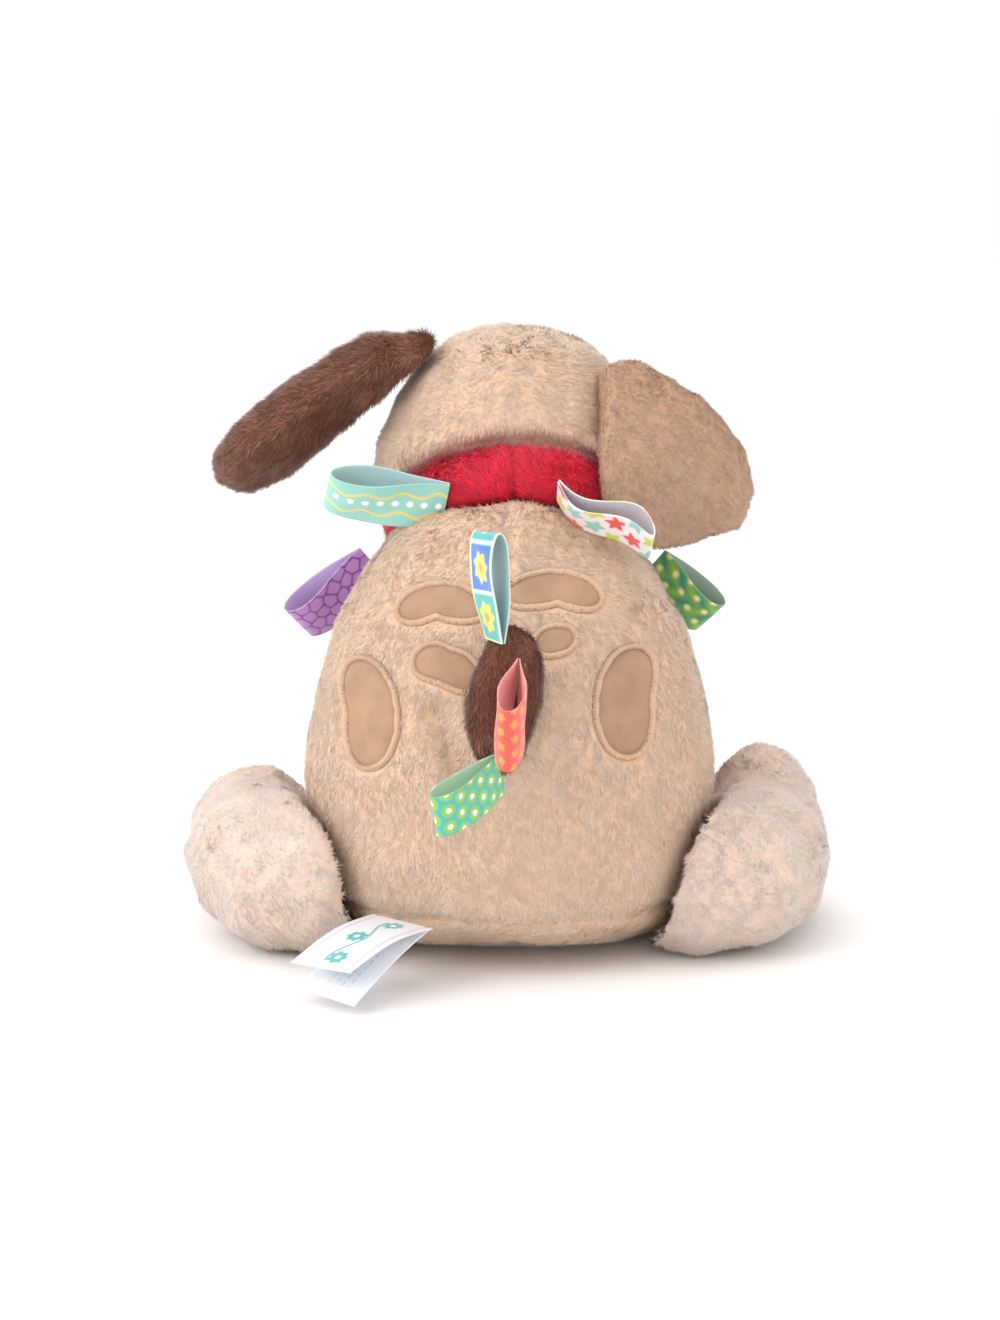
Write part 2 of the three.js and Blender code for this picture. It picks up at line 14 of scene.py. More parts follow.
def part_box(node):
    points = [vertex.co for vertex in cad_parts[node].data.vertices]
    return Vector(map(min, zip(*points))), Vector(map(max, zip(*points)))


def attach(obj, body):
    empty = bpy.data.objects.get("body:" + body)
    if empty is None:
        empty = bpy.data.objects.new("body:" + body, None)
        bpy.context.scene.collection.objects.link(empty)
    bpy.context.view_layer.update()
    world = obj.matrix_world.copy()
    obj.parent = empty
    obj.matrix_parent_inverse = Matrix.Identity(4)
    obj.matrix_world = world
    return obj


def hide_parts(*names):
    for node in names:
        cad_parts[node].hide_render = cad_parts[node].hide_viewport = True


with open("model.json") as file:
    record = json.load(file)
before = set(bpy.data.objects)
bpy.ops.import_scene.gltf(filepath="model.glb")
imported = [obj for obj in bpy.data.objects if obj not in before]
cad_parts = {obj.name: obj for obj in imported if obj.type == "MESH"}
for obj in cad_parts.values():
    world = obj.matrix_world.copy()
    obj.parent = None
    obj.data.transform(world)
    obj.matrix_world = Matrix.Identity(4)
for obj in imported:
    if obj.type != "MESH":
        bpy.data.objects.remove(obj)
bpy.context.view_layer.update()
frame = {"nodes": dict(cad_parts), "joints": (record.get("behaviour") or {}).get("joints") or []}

MM = 0.001
joints = {joint["child"]: joint for joint in frame["joints"]}
HIPS = np.mean([joints[f"hind_leg_{side}"]["pos_m"] for side in ("left", "right")], axis=0) / MM
ORIGIN = HIPS - [0.0, 27.65, 35.0]      # the point on the floor that the lengths below are measured from
SEEN_LIFT = math.radians(12)      # the patches and creases are drawn square to this view
SEEN_UP = np.array([0.0, -math.sin(SEEN_LIFT), math.cos(SEEN_LIFT)])


# ---- colours
def srgb(text, alpha=1.0):
    """A hex colour as linear RGBA."""
    channels = [int(text[i:i + 2], 16) / 255 for i in (0, 2, 4)]
    linear = [c / 12.92 if c <= 0.04045 else ((c + 0.055) / 1.055) ** 2.4 for c in channels]
    return (*linear, alpha)


def scaled(colour, factor):
    return (*(min(1.0, c * factor) for c in colour[:3]), 1.0)


def tinted(colour, factors):
    return (*(min(1.0, c * f) for c, f in zip(colour[:3], factors)), 1.0)


BEIGE = srgb("edceb5")
CREAM = srgb("f2ded2")
WHITE = srgb("f4f0ec")
BROWN = srgb("7a5143")
TAN = srgb("c8a68d")
RED = srgb("ee3047")
SUEDE = srgb("ae8b71")
EDGE = srgb("d8b598")


# ---- materials
def set_inputs(node, **values):
    """Sets a node's sockets; an underscore stands for the space in a socket's name."""
    for socket, value in values.items():
        node.inputs[socket.replace("_", " ")].default_value = value


def principled(name, colour, roughness=0.9, sheen=0.0, sheen_tint=None, specular=0.3):
    material = bpy.data.materials.new(name)
    material.use_nodes = True
    shader = material.node_tree.nodes["Principled BSDF"]
    set_inputs(shader, Base_Color=colour, Roughness=roughness, Specular_IOR_Level=specular,
               Sheen_Weight=sheen, Sheen_Roughness=0.5)
    if sheen_tint:
        set_inputs(shader, Sheen_Tint=sheen_tint)
    return material


def let_light_through(material, weight=0.25, reach=0.25):
    """Fibres pass on light that falls on their far side."""
    set_inputs(material.node_tree.nodes["Principled BSDF"], Subsurface_Weight=weight,
               Subsurface_Radius=(1.0, 0.8, 0.6), Subsurface_Scale=reach * MM)
    return material


def grained(material, scale, strength, distance, detail=3.0):
    """Gives a material a fine grain as bump, in the object's own space."""
    nodes, links = material.node_tree.nodes, material.node_tree.links
    place = nodes.new("ShaderNodeTexCoord")
    noise = nodes.new("ShaderNodeTexNoise")
    bump = nodes.new("ShaderNodeBump")
    set_inputs(noise, Scale=scale, Detail=detail)
    set_inputs(bump, Strength=strength, Distance=distance)
    links.new(place.outputs["Object"], noise.inputs["Vector"])
    links.new(noise.outputs["Fac"], bump.inputs["Height"])
    links.new(bump.outputs["Normal"], nodes["Principled BSDF"].inputs["Normal"])
    return place


def pile_materials(name, colour, spread=(0.80, 0.92, 1.03, 1.14), sheen=0.25):
    """A few shades of one pile, so that locks of it differ a little."""
    return [
        let_light_through(
            principled(f"{name}_pile_{i}", scaled(colour, f), 0.95, sheen, (1, 0.97, 0.94, 1), 0.15))
        for i, f in enumerate(spread)
    ]


# ---- meshes
def make_mesh(name, points, faces, materials=(), smooth=True):
    """points in millimetres; faces a list or an (n, 3 or 4) array."""
    mesh = bpy.data.meshes.new(name)
    faces = np.asarray(faces, dtype=np.int32)
    count, corners = faces.shape
    mesh.vertices.add(len(points))
    mesh.vertices.foreach_set("co", (np.asarray(points, dtype=np.float32) * MM).ravel())
    mesh.loops.add(count * corners)
    mesh.loops.foreach_set("vertex_index", faces.ravel())
    mesh.polygons.add(count)
    mesh.polygons.foreach_set("loop_start", np.arange(0, count * corners, corners, dtype=np.int32))
    mesh.update(calc_edges=True)
    mesh.polygons.foreach_set("use_smooth", np.full(count, smooth))
    for material in materials:
        mesh.materials.append(material)
    obj = bpy.data.objects.new(name, mesh)
    bpy.context.scene.collection.objects.link(obj)
    return obj


def coords(mesh):
    """Vertex positions in millimetres."""
    flat = np.empty(len(mesh.vertices) * 3, np.float32)
    mesh.vertices.foreach_get("co", flat)
    return flat.reshape(-1, 3).astype(float) / MM


def triangles(mesh):
    mesh.calc_loop_triangles()
    flat = np.empty(len(mesh.loop_triangles) * 3, np.int32)
    mesh.loop_triangles.foreach_get("vertices", flat)
    return flat.reshape(-1, 3)


def ring_faces(rings, count, first=0, inward=False):
    """Triangles over a stack of closed rings of count points; first is the number of the first point."""
    faces = []
    for ring in range(rings - 1):
        for k in range(count):
            a, b = (first + ring * count + i for i in (k, (k + 1) % count))
            c, d = b + count, a + count
            faces += [[a, d, c], [a, c, b]] if inward else [[a, b, c], [a, c, d]]
    return faces


def vertex_normals(points, tris):
    across = np.cross(points[tris[:, 1]] - points[tris[:, 0]], points[tris[:, 2]] - points[tris[:, 0]])
    normals = np.zeros_like(points)
    for corner in range(3):
        np.add.at(normals, tris[:, corner], across)
    return unit(normals)


def unit(vectors):
    return vectors / np.maximum(np.linalg.norm(vectors, axis=-1, keepdims=True), 1e-9)


def cad_nodes_as_one(names):
    points, tris, base = [], [], 0
    for name in names:
        mesh = frame["nodes"][name].data
        points.append(coords(mesh))
        tris.append(triangles(mesh) + base)
        base += len(mesh.vertices)
    return np.vstack(points), np.vstack(tris)


def largest_island(obj):
    work = bmesh.new()
    work.from_mesh(obj.data)
    work.verts.ensure_lookup_table()
    seen = set()
    islands = []
    for start in work.verts:
        if start.index in seen:
            continue
        stack, island = [start], []
        seen.add(start.index)
        while stack:
            vert = stack.pop()
            island.append(vert)
            for edge in vert.link_edges:
                other = edge.other_vert(vert)
                if other.index not in seen:
                    seen.add(other.index)
                    stack.append(other)
        islands.append(island)
    islands.sort(key=len)
    spare = [vert for island in islands[:-1] for vert in island]
    bmesh.ops.delete(work, geom=spare, context="VERTS")
    work.to_mesh(obj.data)
    work.free()


def applied(obj):
    """obj with its modifiers made real."""
    graph = bpy.context.evaluated_depsgraph_get()
    mesh = bpy.data.meshes.new_from_object(obj.evaluated_get(graph))
    obj.modifiers.clear()
    obj.data = mesh
    return obj


def skin(name, nodes, material, voxel=3.0, smooth=10, inset=0.0, dent=None):
    """The outer shape of some CAD nodes as one soft skin, inset millimetres under their surface."""
    points, tris = cad_nodes_as_one(nodes)
    obj = make_mesh(name, points, tris)
    weld = obj.modifiers.new("weld", "WELD")
    weld.merge_threshold = 0.01 * MM
    remesh = obj.modifiers.new("voxels", "REMESH")
    remesh.mode = "VOXEL"
    remesh.voxel_size = voxel * MM
    soften = obj.modifiers.new("soften", "SMOOTH")
    soften.factor = 0.5
    soften.iterations = smooth
    applied(obj)
    largest_island(obj)
    mesh = obj.data
    points = coords(mesh)
    normals = vertex_normals(points, triangles(mesh))
    points = points - normals * inset
    if dent:
        points = points - normals * dent(points, normals)[:, None]
    mesh.vertices.foreach_set("co", (points * MM).astype(np.float32).ravel())
    mesh.update()
    mesh.polygons.foreach_set("use_smooth", np.full(len(mesh.polygons), True))
    mesh.materials.clear()
    mesh.materials.append(material)
    return obj


# ---- smooth random fields
def ripple(points, scale, seed):
    """Smooth noise between about -1 and 1, with bumps scale millimetres across."""
    rng = np.random.default_rng(seed)
    total = np.zeros(len(points))
    for _ in range(7):
        wave = unit(rng.normal(size=3)) * 2 * math.pi / scale * rng.uniform(0.6, 1.5)
        total += np.sin(points @ wave + rng.uniform(0, 2 * math.pi))
    return total / 3.0


# ---- pile
SWIRL, FINE_SWIRL, STRAY = 0.34, 0.6, 0.16      # how much locks, finer locks and single strands turn aside
LOCK_TILT, STRAND_TILT = 9, 7                   # and how much their lean differs, in degrees
LOCK_LENGTH, STRAND_LENGTHS, STRAND_WIDTHS = 0.12, (0.8, 1.15), (0.7, 1.3)


def pile(name, base, materials, nap, per_mm2=1.1, length=3.4, width=0.62, lean=62, sink=0.6, wave=9.0,
         part=None, keep=None, seed=1):
    """Locks of pile as closed spikes on a skin. nap(points) gives the way the pile lies, and part says
    which points of the skin bear it."""
    rng = np.random.default_rng(seed)
    points = coords(base.data)
    tris = triangles(base.data)
    normals = vertex_normals(points, tris)
    a, b, c = (points[tris[:, k]] for k in range(3))
    area = 0.5 * np.linalg.norm(np.cross(b - a, c - a), axis=1)
    if part is not None:
        area = area * (part[tris].sum(axis=1) >= 2)
    number = int(area.sum() * per_mm2)
    chosen = rng.choice(len(tris), size=number, p=area / area.sum())
    u, v = rng.random(number), rng.random(number)
    over = u + v > 1
    u[over], v[over] = 1 - u[over], 1 - v[over]
    weights = np.stack([1 - u - v, u, v], axis=1)
    roots = np.einsum("nk,nkd->nd", weights, points[tris[chosen]])
    up = unit(np.einsum("nk,nkd->nd", weights, normals[tris[chosen]]))
    if keep is not None:
        kept = keep(roots, up)
        roots, up = roots[kept], up[kept]
    number = len(roots)
    swirl = np.stack([ripple(roots, wave, seed + k) + FINE_SWIRL * ripple(roots, wave * 0.45, seed + 9 + k)
                      for k in range(3)], axis=1)
    flow = nap(roots) + swirl * SWIRL + rng.normal(size=(number, 3)) * STRAY
    flow = unit(flow - up * np.sum(flow * up, axis=1, keepdims=True))
    side = np.cross(up, flow)
    rise = ripple(roots, wave * 0.8, seed + 21)
    tilt = np.radians(lean + rise * LOCK_TILT + rng.normal(size=number) * STRAND_TILT)[:, None]
    reach = (length * (1 + LOCK_LENGTH * rise) * rng.uniform(*STRAND_LENGTHS, number))[:, None]
    wide = (width * rng.uniform(*STRAND_WIDTHS, number))[:, None]
    foot = roots - up * sink
    tips = foot + (up * np.cos(tilt) + flow * np.sin(tilt)) * reach
    corners = np.stack([
        foot - side * wide / 2, foot + side * wide / 2, foot - flow * wide * 0.45, tips,
    ], axis=1).reshape(-1, 3)
    shading = np.stack([
        unit(up - side * 0.4), unit(up + side * 0.4), up, unit(up + flow * 0.25),
    ], axis=1).reshape(-1, 3)
    spike = np.array([[0, 1, 3], [1, 2, 3], [2, 0, 3], [0, 2, 1]])
    faces = (spike[None] + 4 * np.arange(number)[:, None, None]).reshape(-1, 3)
    obj = make_mesh(name, corners, faces, materials)
    tone = 0.5 + 0.12 * ripple(roots, 30, seed + 5) + 0.1 * rise + rng.normal(size=number) * 0.2
    shade = np.clip((tone * len(materials)).astype(int), 0, len(materials) - 1)
    obj.data.polygons.foreach_set("material_index", np.repeat(shade, 4).astype(np.int32))
    obj.data.normals_split_custom_set_from_vertices(shading.tolist())
    return obj


def nap_along(direction, swirl=0.35, scale=45, seed=3):
    """Pile that lies along one direction, with slow swirls."""
    direction = np.asarray(direction, float)

    def flow(points):
        bend = np.stack([ripple(points, scale, seed + k) for k in range(3)], axis=1)
        return direction[None] + bend * swirl
    return flow


def within(obj):
    """A test for points that are inside a closed piece."""
    points = coords(obj.data)
    tree = BVHTree.FromPolygons(points.tolist(), triangles(obj.data).tolist())
    lowest, highest = points.min(0), points.max(0)
    upward = Vector((0.01, 0.02, 1)).normalized()

    def test(places):
        found = np.zeros(len(places), bool)
        near = np.all((places > lowest) & (places < highest), axis=1)
        for i in np.nonzero(near)[0]:
            spot, hits = Vector(places[i]), 0
            while True:
                spot = tree.ray_cast(spot, upward)[0]
                if spot is None:
                    break
                hits += 1
                spot = spot + upward * 0.01
            found[i] = hits % 2 == 1
        return found
    return test


def nearest_group(points, groups):
    """For each point the index of the group of CAD nodes whose surface is nearest."""
    distances = []
    for nodes in groups:
        where, tris = cad_nodes_as_one(nodes)
        tree = BVHTree.FromPolygons(where.tolist(), tris.tolist())
        distances.append([tree.find_nearest(point)[3] for point in points])
    return np.argmin(np.array(distances), axis=0)


# ---- camera, floor and light
AIM = ORIGIN + [4.0, 0.0, 113.0]
DISTANCE = 1300.0
VIEW_AZIMUTH, VIEW_LIFT = 180.0, 12.0
FRAME_WIDTH = 410.0               # what the picture is across, at the toy
FLOOR_REACH = 9000.0
STUDIO_STRENGTH = 1.04
LIGHTS = [
    # name, place in metres, watts, size in metres
    ("key_left", (1.15, 0.75, 0.95), 9.5, 0.9),
    ("top_soft", (0.0, 0.45, 1.35), 2.6, 0.8),
    ("low_behind", (-0.45, 1.15, 0.14), 1.5, 0.6),
    ("fill_front", (0.6, -1.3, 0.9), 4.0, 0.9),
]


def set_camera():
    data = bpy.data.cameras.new("camera")
    data.sensor_fit = "HORIZONTAL"
    data.sensor_width = 36
    data.lens = 36 * DISTANCE / FRAME_WIDTH
    camera = bpy.data.objects.new("camera", data)
    bpy.context.scene.collection.objects.link(camera)
    turn, lift = math.radians(VIEW_AZIMUTH), math.radians(VIEW_LIFT)
    back = np.array([math.sin(turn) * math.cos(lift), -math.cos(turn) * math.cos(lift), math.sin(lift)])
    camera.location = (AIM + back * DISTANCE) * MM
    camera.rotation_euler = Vector(back).to_track_quat("Z", "Y").to_euler()
    bpy.context.scene.camera = camera


def set_stage():
    far = FLOOR_REACH
    floor = make_mesh("floor", [[-far, -far, -0.2], [far, -far, -0.2], [far, far, -0.2], [-far, far, -0.2]],
                      [[0, 1, 2, 3]], [principled("floor_paper", (0.97, 0.97, 0.97, 1), 0.9, specular=0)])
    world = bpy.data.worlds.new("studio")
    world.use_nodes = True
    set_inputs(world.node_tree.nodes["Background"], Color=(1, 1, 1, 1), Strength=STUDIO_STRENGTH)
    bpy.context.scene.world = world
    bpy.context.scene.view_settings.view_transform = "Standard"
    for name, at, power, size in LIGHTS:
        data = bpy.data.lights.new(name, "AREA")
        data.energy = power
        data.size = size
        light = bpy.data.objects.new(name, data)
        light.location = at
        light.rotation_euler = (Vector(at) - Vector((0, 0, 0.1))).to_track_quat("Z", "Y").to_euler()
        bpy.context.scene.collection.objects.link(light)


set_camera()
set_stage()

# ---- names in the frame
PATCHES = ["side_left", "side_right", "upper_left", "upper_right", "lower_left", "lower_right"]
BACK_NODES = ["back_left", "back_right"]
TRUNK_NODES = BACK_NODES + ["belly", "seat", "body_stuffing"]
PATCH_NODES = [f"patch_{p}" for p in PATCHES] + [f"patch_edge_{p}" for p in PATCHES]
MUZZLE_NODES = ["muzzle_left", "muzzle_right"]
CROWN_NODES = ["head_gusset", "head_side_left", "head_side_right"]
HEAD_NODES = CROWN_NODES + MUZZLE_NODES + ["head_stuffing"]
COLLAR_NODES = ["collar_left", "collar_right"]


def drawn(points):
    """Where points stand across and up in the view that the back is drawn square to."""
    points = points - ORIGIN
    return np.stack([points[:, 0], points @ SEEN_UP], axis=1)


def groove(flat, line, depth, half_width):
    """How deep a groove along a line of [across, up] points is at each flat point."""
    nearest = np.full(len(flat), 1e9)
    for start, end in zip(line[:-1], line[1:]):
        start, end = np.array(start, float), np.array(end, float)
        along = end - start
        t = np.clip(((flat - start) @ along) / (along @ along), 0, 1)
        nearest = np.minimum(nearest, np.linalg.norm(flat - start - t[:, None] * along, axis=1))
    return depth * np.exp(-(nearest / half_width) ** 2)


def centre(node):
    lowest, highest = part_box(node)
    return (np.array(lowest) + np.array(highest)) / 2 / MM


def padded_piece(obj, body, nodes):
    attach(obj, body)
    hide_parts(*nodes)
    return obj


# ---- plush colours
SHADES = {
    "beige": (BEIGE, (0.86, 0.95, 1.02, 1.08)),
    "cream": (CREAM, (0.88, 0.95, 1.03, 1.08)),
    "white": (WHITE, (0.88, 0.95, 1.00, 1.03)),
    "brown": (BROWN, (0.55, 0.88, 1.25, 1.75)),
    "tan": (TAN, (0.78, 0.90, 1.04, 1.18)),
    "red": (RED, (0.55, 0.80, 1.00, 1.25)),
}
# the knit under the pile is each pile colour darkened and warmed: painted shade for the gaps between the
# locks
backing = {name: principled(f"{name}_backing", tinted(colour, (0.84, 0.76, 0.69)), 1.0, specular=0.1)
           for name, (colour, _) in SHADES.items()}
plush = {name: pile_materials(name, colour, spread) for name, (colour, spread) in SHADES.items()}
MORE = 1.0       # how much of the pile is made


def pile_piece(name, base, colour, body, nap, per_mm2, **options):
    fur = pile(name, base, plush[colour], nap, per_mm2=per_mm2 * MORE, **options)
    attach(fur, body)
    return fur


# ---- trunk
SEAT_SEAM, SEAT_SEAM_DEPTH, SEAT_SEAM_HALF = 24.0, 2.6, 2.8
BACK_SEAM_DEPTH, BACK_SEAM_HALF = 2.6, 2.6
GATHER_DEPTH, GATHER_HALF = 5.5, 5.0
BACK_SEAM = [(3, 200), (3, 140)]
TAIL_GATHER = [(30, 90), (23, 76), (14, 64)]


def trunk_dents(points, normals):
    flat = drawn(points)
    behind = np.clip(normals[:, 1] * 3, 0, 1)
    dents = 1.0 * ripple(points, 62, 11) + 0.55 * ripple(points, 28, 12)
    dents += behind * groove(flat, BACK_SEAM, BACK_SEAM_DEPTH, BACK_SEAM_HALF)
    dents += behind * groove(flat, TAIL_GATHER, GATHER_DEPTH, GATHER_HALF)
    dents += SEAT_SEAM_DEPTH * np.exp(-((points[:, 2] - SEAT_SEAM) / SEAT_SEAM_HALF) ** 2)
    return dents * (normals[:, 2] > -0.9)


trunk = skin("trunk", TRUNK_NODES + PATCH_NODES, backing["beige"], 3.0, 8, 1.8, trunk_dents)
padded_piece(trunk, "torso", TRUNK_NODES)
trunk_tree = BVHTree.FromPolygons(coords(trunk.data).tolist(), triangles(trunk.data).tolist())

# ---- suede patches and their satin edges
PATCH_RINGS = [(1.03, -0.6), (1.01, 0.0), (0.97, 0.35), (0.9, 0.95), (0.75, 1.2), (0.55, 1.3), (0.35, 1.35),
               (0.15, 1.4)]
PATCH_SCALE = {"side_left": 0.94, "side_right": 0.96}
PATCH_BENDS = {
    # patch: swellings (+) and hollows (-) of its outline: direction and half width in degrees, share
    "side_left": [(5, 28, -0.10), (70, 25, 0.03)],
    "side_right": [(172, 28, -0.10), (-80, 25, 0.03)],
    "upper_left": [(-80, 34, -0.30), (-163, 22, 0.14)],
    "upper_right": [(-98, 36, -0.26), (-12, 22, 0.14)],
    "lower_left": [(118, 32, -0.24), (-150, 40, 0.16), (40, 30, 0.10)],
    "lower_right": [(-110, 50, -0.14), (150, 34, 0.12)],
}
EDGE_PROFILE = [(-0.5, 0.5), (-0.1, 1.3), (0.4, 1.85), (0.9, 1.95), (1.5, 1.5), (1.9, 0.4)]
EDGE_PITCH = 0.6
THREAD_HALF = 0.35
THREAD_ROOT = 1.4                 # how far a thread goes down, for each part that it rises
THREAD_STRAY = 0.07


def outline_of(name, count=96):
    """A smooth outline of a patch in the drawn view, round its middle."""
    mesh = frame["nodes"][f"patch_{name}"].data
    points, tris = coords(mesh), triangles(mesh)
    steps = np.linspace(0, 1, 9)[:, None, None]
    edges = [points[tris[:, k]] * steps + points[tris[:, k - 1]] * (1 - steps) for k in range(3)]
    flat = drawn(np.vstack([edge.reshape(-1, 3) for edge in edges]))
    middle = (flat.min(0) + flat.max(0)) / 2
    offset = flat - middle
    angle = np.arctan2(offset[:, 1], offset[:, 0])
    reach = np.linalg.norm(offset, axis=1)
    turns = np.linspace(-math.pi, math.pi, count, endpoint=False)
    radius = np.empty(count)
    for i, turn in enumerate(turns):
        gap = np.abs((angle - turn + math.pi) % (2 * math.pi) - math.pi)
        near = gap < math.radians(5)
        radius[i] = (reach[near] * np.cos(gap[near])).max()
    waves = np.fft.rfft(radius)
    waves[11:] = 0
    radius = np.fft.irfft(waves, count) * PATCH_SCALE.get(name, 1.0)
    for toward, half, share in PATCH_BENDS[name]:
        gap = np.abs((np.degrees(turns) - toward + 180) % 360 - 180)
        radius *= 1 + share * np.exp(-(gap / half) ** 2)
    return middle, turns, radius


def onto_trunk(flat, lift):
    """Points on the back that are drawn at flat, lifted off the backing."""
    out = []
    toward = Vector((0, -math.cos(SEEN_LIFT), -math.sin(SEEN_LIFT)))
    for across, up in flat:
        start = Vector(ORIGIN + np.array([across, 0, 0]) + SEEN_UP * up) - toward * 300
        spot, normal, _, _ = trunk_tree.ray_cast(start, toward)
        out.append(np.array(spot) + np.array(normal) * lift)
    return np.array(out)


def patch_piece(name, outline):
    """The suede panel: a crowned disc with a turned-down rim."""
    middle, turns, radius = outline
    direction = np.stack([np.cos(turns), np.sin(turns)], axis=1)
    points = np.vstack([onto_trunk(middle + direction * radius[:, None] * share, lift)
                        for share, lift in PATCH_RINGS]
                       + [onto_trunk([middle], 1.4), onto_trunk([middle], -0.6)])
    count = len(turns)
    faces = ring_faces(len(PATCH_RINGS), count)
    top, under = len(points) - 2, len(points) - 1
    last = (len(PATCH_RINGS) - 1) * count
    for k in range(count):
        j = (k + 1) % count
        faces += [[last + k, last + j, top], [j, k, under]]
    return make_mesh(f"suede_{name}", points, faces, [suede])


def spaced_rim(outline, pitch):
    """Points a pitch apart round a patch, and the way outward at each."""
    middle, turns, radius = outline
    fine = np.linspace(-math.pi, math.pi, 720, endpoint=False)
    reach = np.interp(fine, np.append(turns, math.pi), np.append(radius, radius[0]))
    rim = middle + np.stack([np.cos(fine), np.sin(fine)], axis=1) * reach[:, None]
    loop = np.vstack([rim, rim[:1]])
    run = np.concatenate([[0], np.cumsum(np.linalg.norm(np.diff(loop, axis=0), axis=1))])
    spots = np.linspace(0, run[-1], int(run[-1] / pitch), endpoint=False)
    rim = np.stack([np.interp(spots, run, loop[:, k]) for k in range(2)], axis=1)
    ahead = unit(np.roll(rim, -1, axis=0) - np.roll(rim, 1, axis=0))
    return rim, np.stack([ahead[:, 1], -ahead[:, 0]], axis=1)


def bars(name, rows, tangent, normal, half, materials, rise=0.22):
    """Threads side by side: rows are the points along each thread, one array a step."""
    points = []
    for row in rows:
        points += [row - tangent * half, row + normal * rise,
                   row + tangent * half, row - normal * rise * THREAD_ROOT]
    points = np.stack(points, axis=1).reshape(-1, 3)
    each = 4 * len(rows)
    last = each - 4
    faces = ring_faces(len(rows), 4)
    faces += [[0, 2, 1], [0, 3, 2], [last, last + 1, last + 2], [last, last + 2, last + 3]]
    faces = (np.array(faces)[None] + each * np.arange(len(rows[0]))[:, None, None]).reshape(-1, 3)
    obj = make_mesh(name, points, faces, materials)
    work = bmesh.new()
    work.from_mesh(obj.data)
    bmesh.ops.recalc_face_normals(work, faces=work.faces)
    work.to_mesh(obj.data)
    work.free()
    return obj


def stitched_edge(name, outline):
    """Satin stitch: threads laid side by side across the patch's rim."""
    rim, outward = spaced_rim(outline, EDGE_PITCH)
    rng = np.random.default_rng(7)
    rows = [onto_trunk(rim + outward * (out + rng.normal(size=(len(rim), 1)) * THREAD_STRAY), lift)
            for out, lift in EDGE_PROFILE]
    tangent = unit(np.roll(rows[2], -1, axis=0) - np.roll(rows[2], 1, axis=0))
    normal = unit(np.cross(unit(rows[4] - rows[1]), tangent))
    normal *= np.sign(normal[:, 1:2])
    return bars(f"satin_edge_{name}", rows, tangent, normal, THREAD_HALF, [thread])


def mottled(material, colour, scale, low, high, *grain):
    """Gives a material slow colour variation and a fine grain."""
    nodes, links = material.node_tree.nodes, material.node_tree.links
    place = grained(material, *grain)
    mottle = nodes.new("ShaderNodeTexNoise")
    set_inputs(mottle, Scale=scale)
    ramp = nodes.new("ShaderNodeValToRGB")
    for end, position, factor in ((0, 0.3, low), (1, 0.7, high)):
        ramp.color_ramp.elements[end].position = position
        ramp.color_ramp.elements[end].color = scaled(colour, factor)
    links.new(place.outputs["Object"], mottle.inputs["Vector"])
    links.new(mottle.outputs["Fac"], ramp.inputs["Fac"])
    links.new(ramp.outputs["Color"], nodes["Principled BSDF"].inputs["Base Color"])
    return material


suede = mottled(principled("suede", SUEDE, 0.9, 0.3, (1, 0.93, 0.85, 1), 0.15),
                SUEDE, 110, 0.88, 1.08, 1100, 0.35, 0.0003)
thread = principled("satin_thread", EDGE, 0.5, 0.2, (1, 0.95, 0.9, 1), 0.4)
outlines = {patch: outline_of(patch) for patch in PATCHES}
for patch, outline in outlines.items():
    panel = patch_piece(patch, outline)
    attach(panel, "torso")
    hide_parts(f"patch_{patch}")
    border = stitched_edge(patch, outline)
    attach(border, "torso")
    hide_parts(f"patch_edge_{patch}")


STITCH_REACH = 2.2                # how far past a patch's outline its stitching goes


def off_patches(points, normals):
    """False where a patch or its stitching lies."""
    flat = drawn(points)
    free = np.ones(len(points), bool)
    for middle, turns, radius in outlines.values():
        offset = flat - middle
        angle = np.arctan2(offset[:, 1], offset[:, 0])
        edge = np.interp(angle, np.append(turns, math.pi), np.append(radius, radius[0]))
        free &= ~((np.linalg.norm(offset, axis=1) < edge + STITCH_REACH) & (normals[:, 1] > 0))
    return free


# ---- head, ears, tail, legs, collar
GUSSET_HALF = 19
COLLAR_OVERHANG = 3.6             # the head bulges this much where it sits over the collar


def head_dents(points, normals):
    seam = np.abs(np.abs(points[:, 0] - centre("head_gusset")[0]) - GUSSET_HALF)
    collar_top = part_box("collar_left")[1][2] / MM
    behind = np.clip((points[:, 1] - centre("head_stuffing")[1] - 5) / 30, 0, 1)
    over_collar = np.exp(-((points[:, 2] - collar_top - 1) / 6) ** 2) * behind
    return (-COLLAR_OVERHANG * over_collar + 0.7 * ripple(points, 50, 31) + 0.4 * ripple(points, 24, 32)
            + 0.5 * np.exp(-(seam / 1.6) ** 2) * (normals[:, 2] > 0))


def soft_dents(seed, slow=0.5, fast=0.3):
    def dents(points, normals):
        return slow * ripple(points, 40, seed) + fast * ripple(points, 18, seed + 1)
    return dents


def collar_dents(points, normals):
    """The seam up the back where the collar's two halves meet."""
    seam = np.abs(points[:, 0] - centre("nose")[0] - 1)
    behind = points[:, 1] > centre("collar_left")[1]
    return 2.2 * np.exp(-(seam / 1.8) ** 2) * behind + 0.5 * ripple(points, 22, 61)


def tail_dents(points, normals):
    """The tail is a flat pad with four corners, two of them drawn out."""
    lowest, highest = points.min(0), points.max(0)
    offset = (points - (lowest + highest) / 2) / (highest - lowest) * 2
    around = np.arctan2(offset[:, 2], offset[:, 0])
    return 2.6 * np.sin(2 * around) * (1 - np.abs(normals[:, 1])) + 0.5 * ripple(points, 18, 45)


def ear_nodes(side):
    return [f"ear_{side}_{part}" for part in ("front", "back", "stuffing")]


def leg_nodes(leg):
    return [f"{leg}_cover", f"{leg}_sole", f"{leg}_stuffing"]


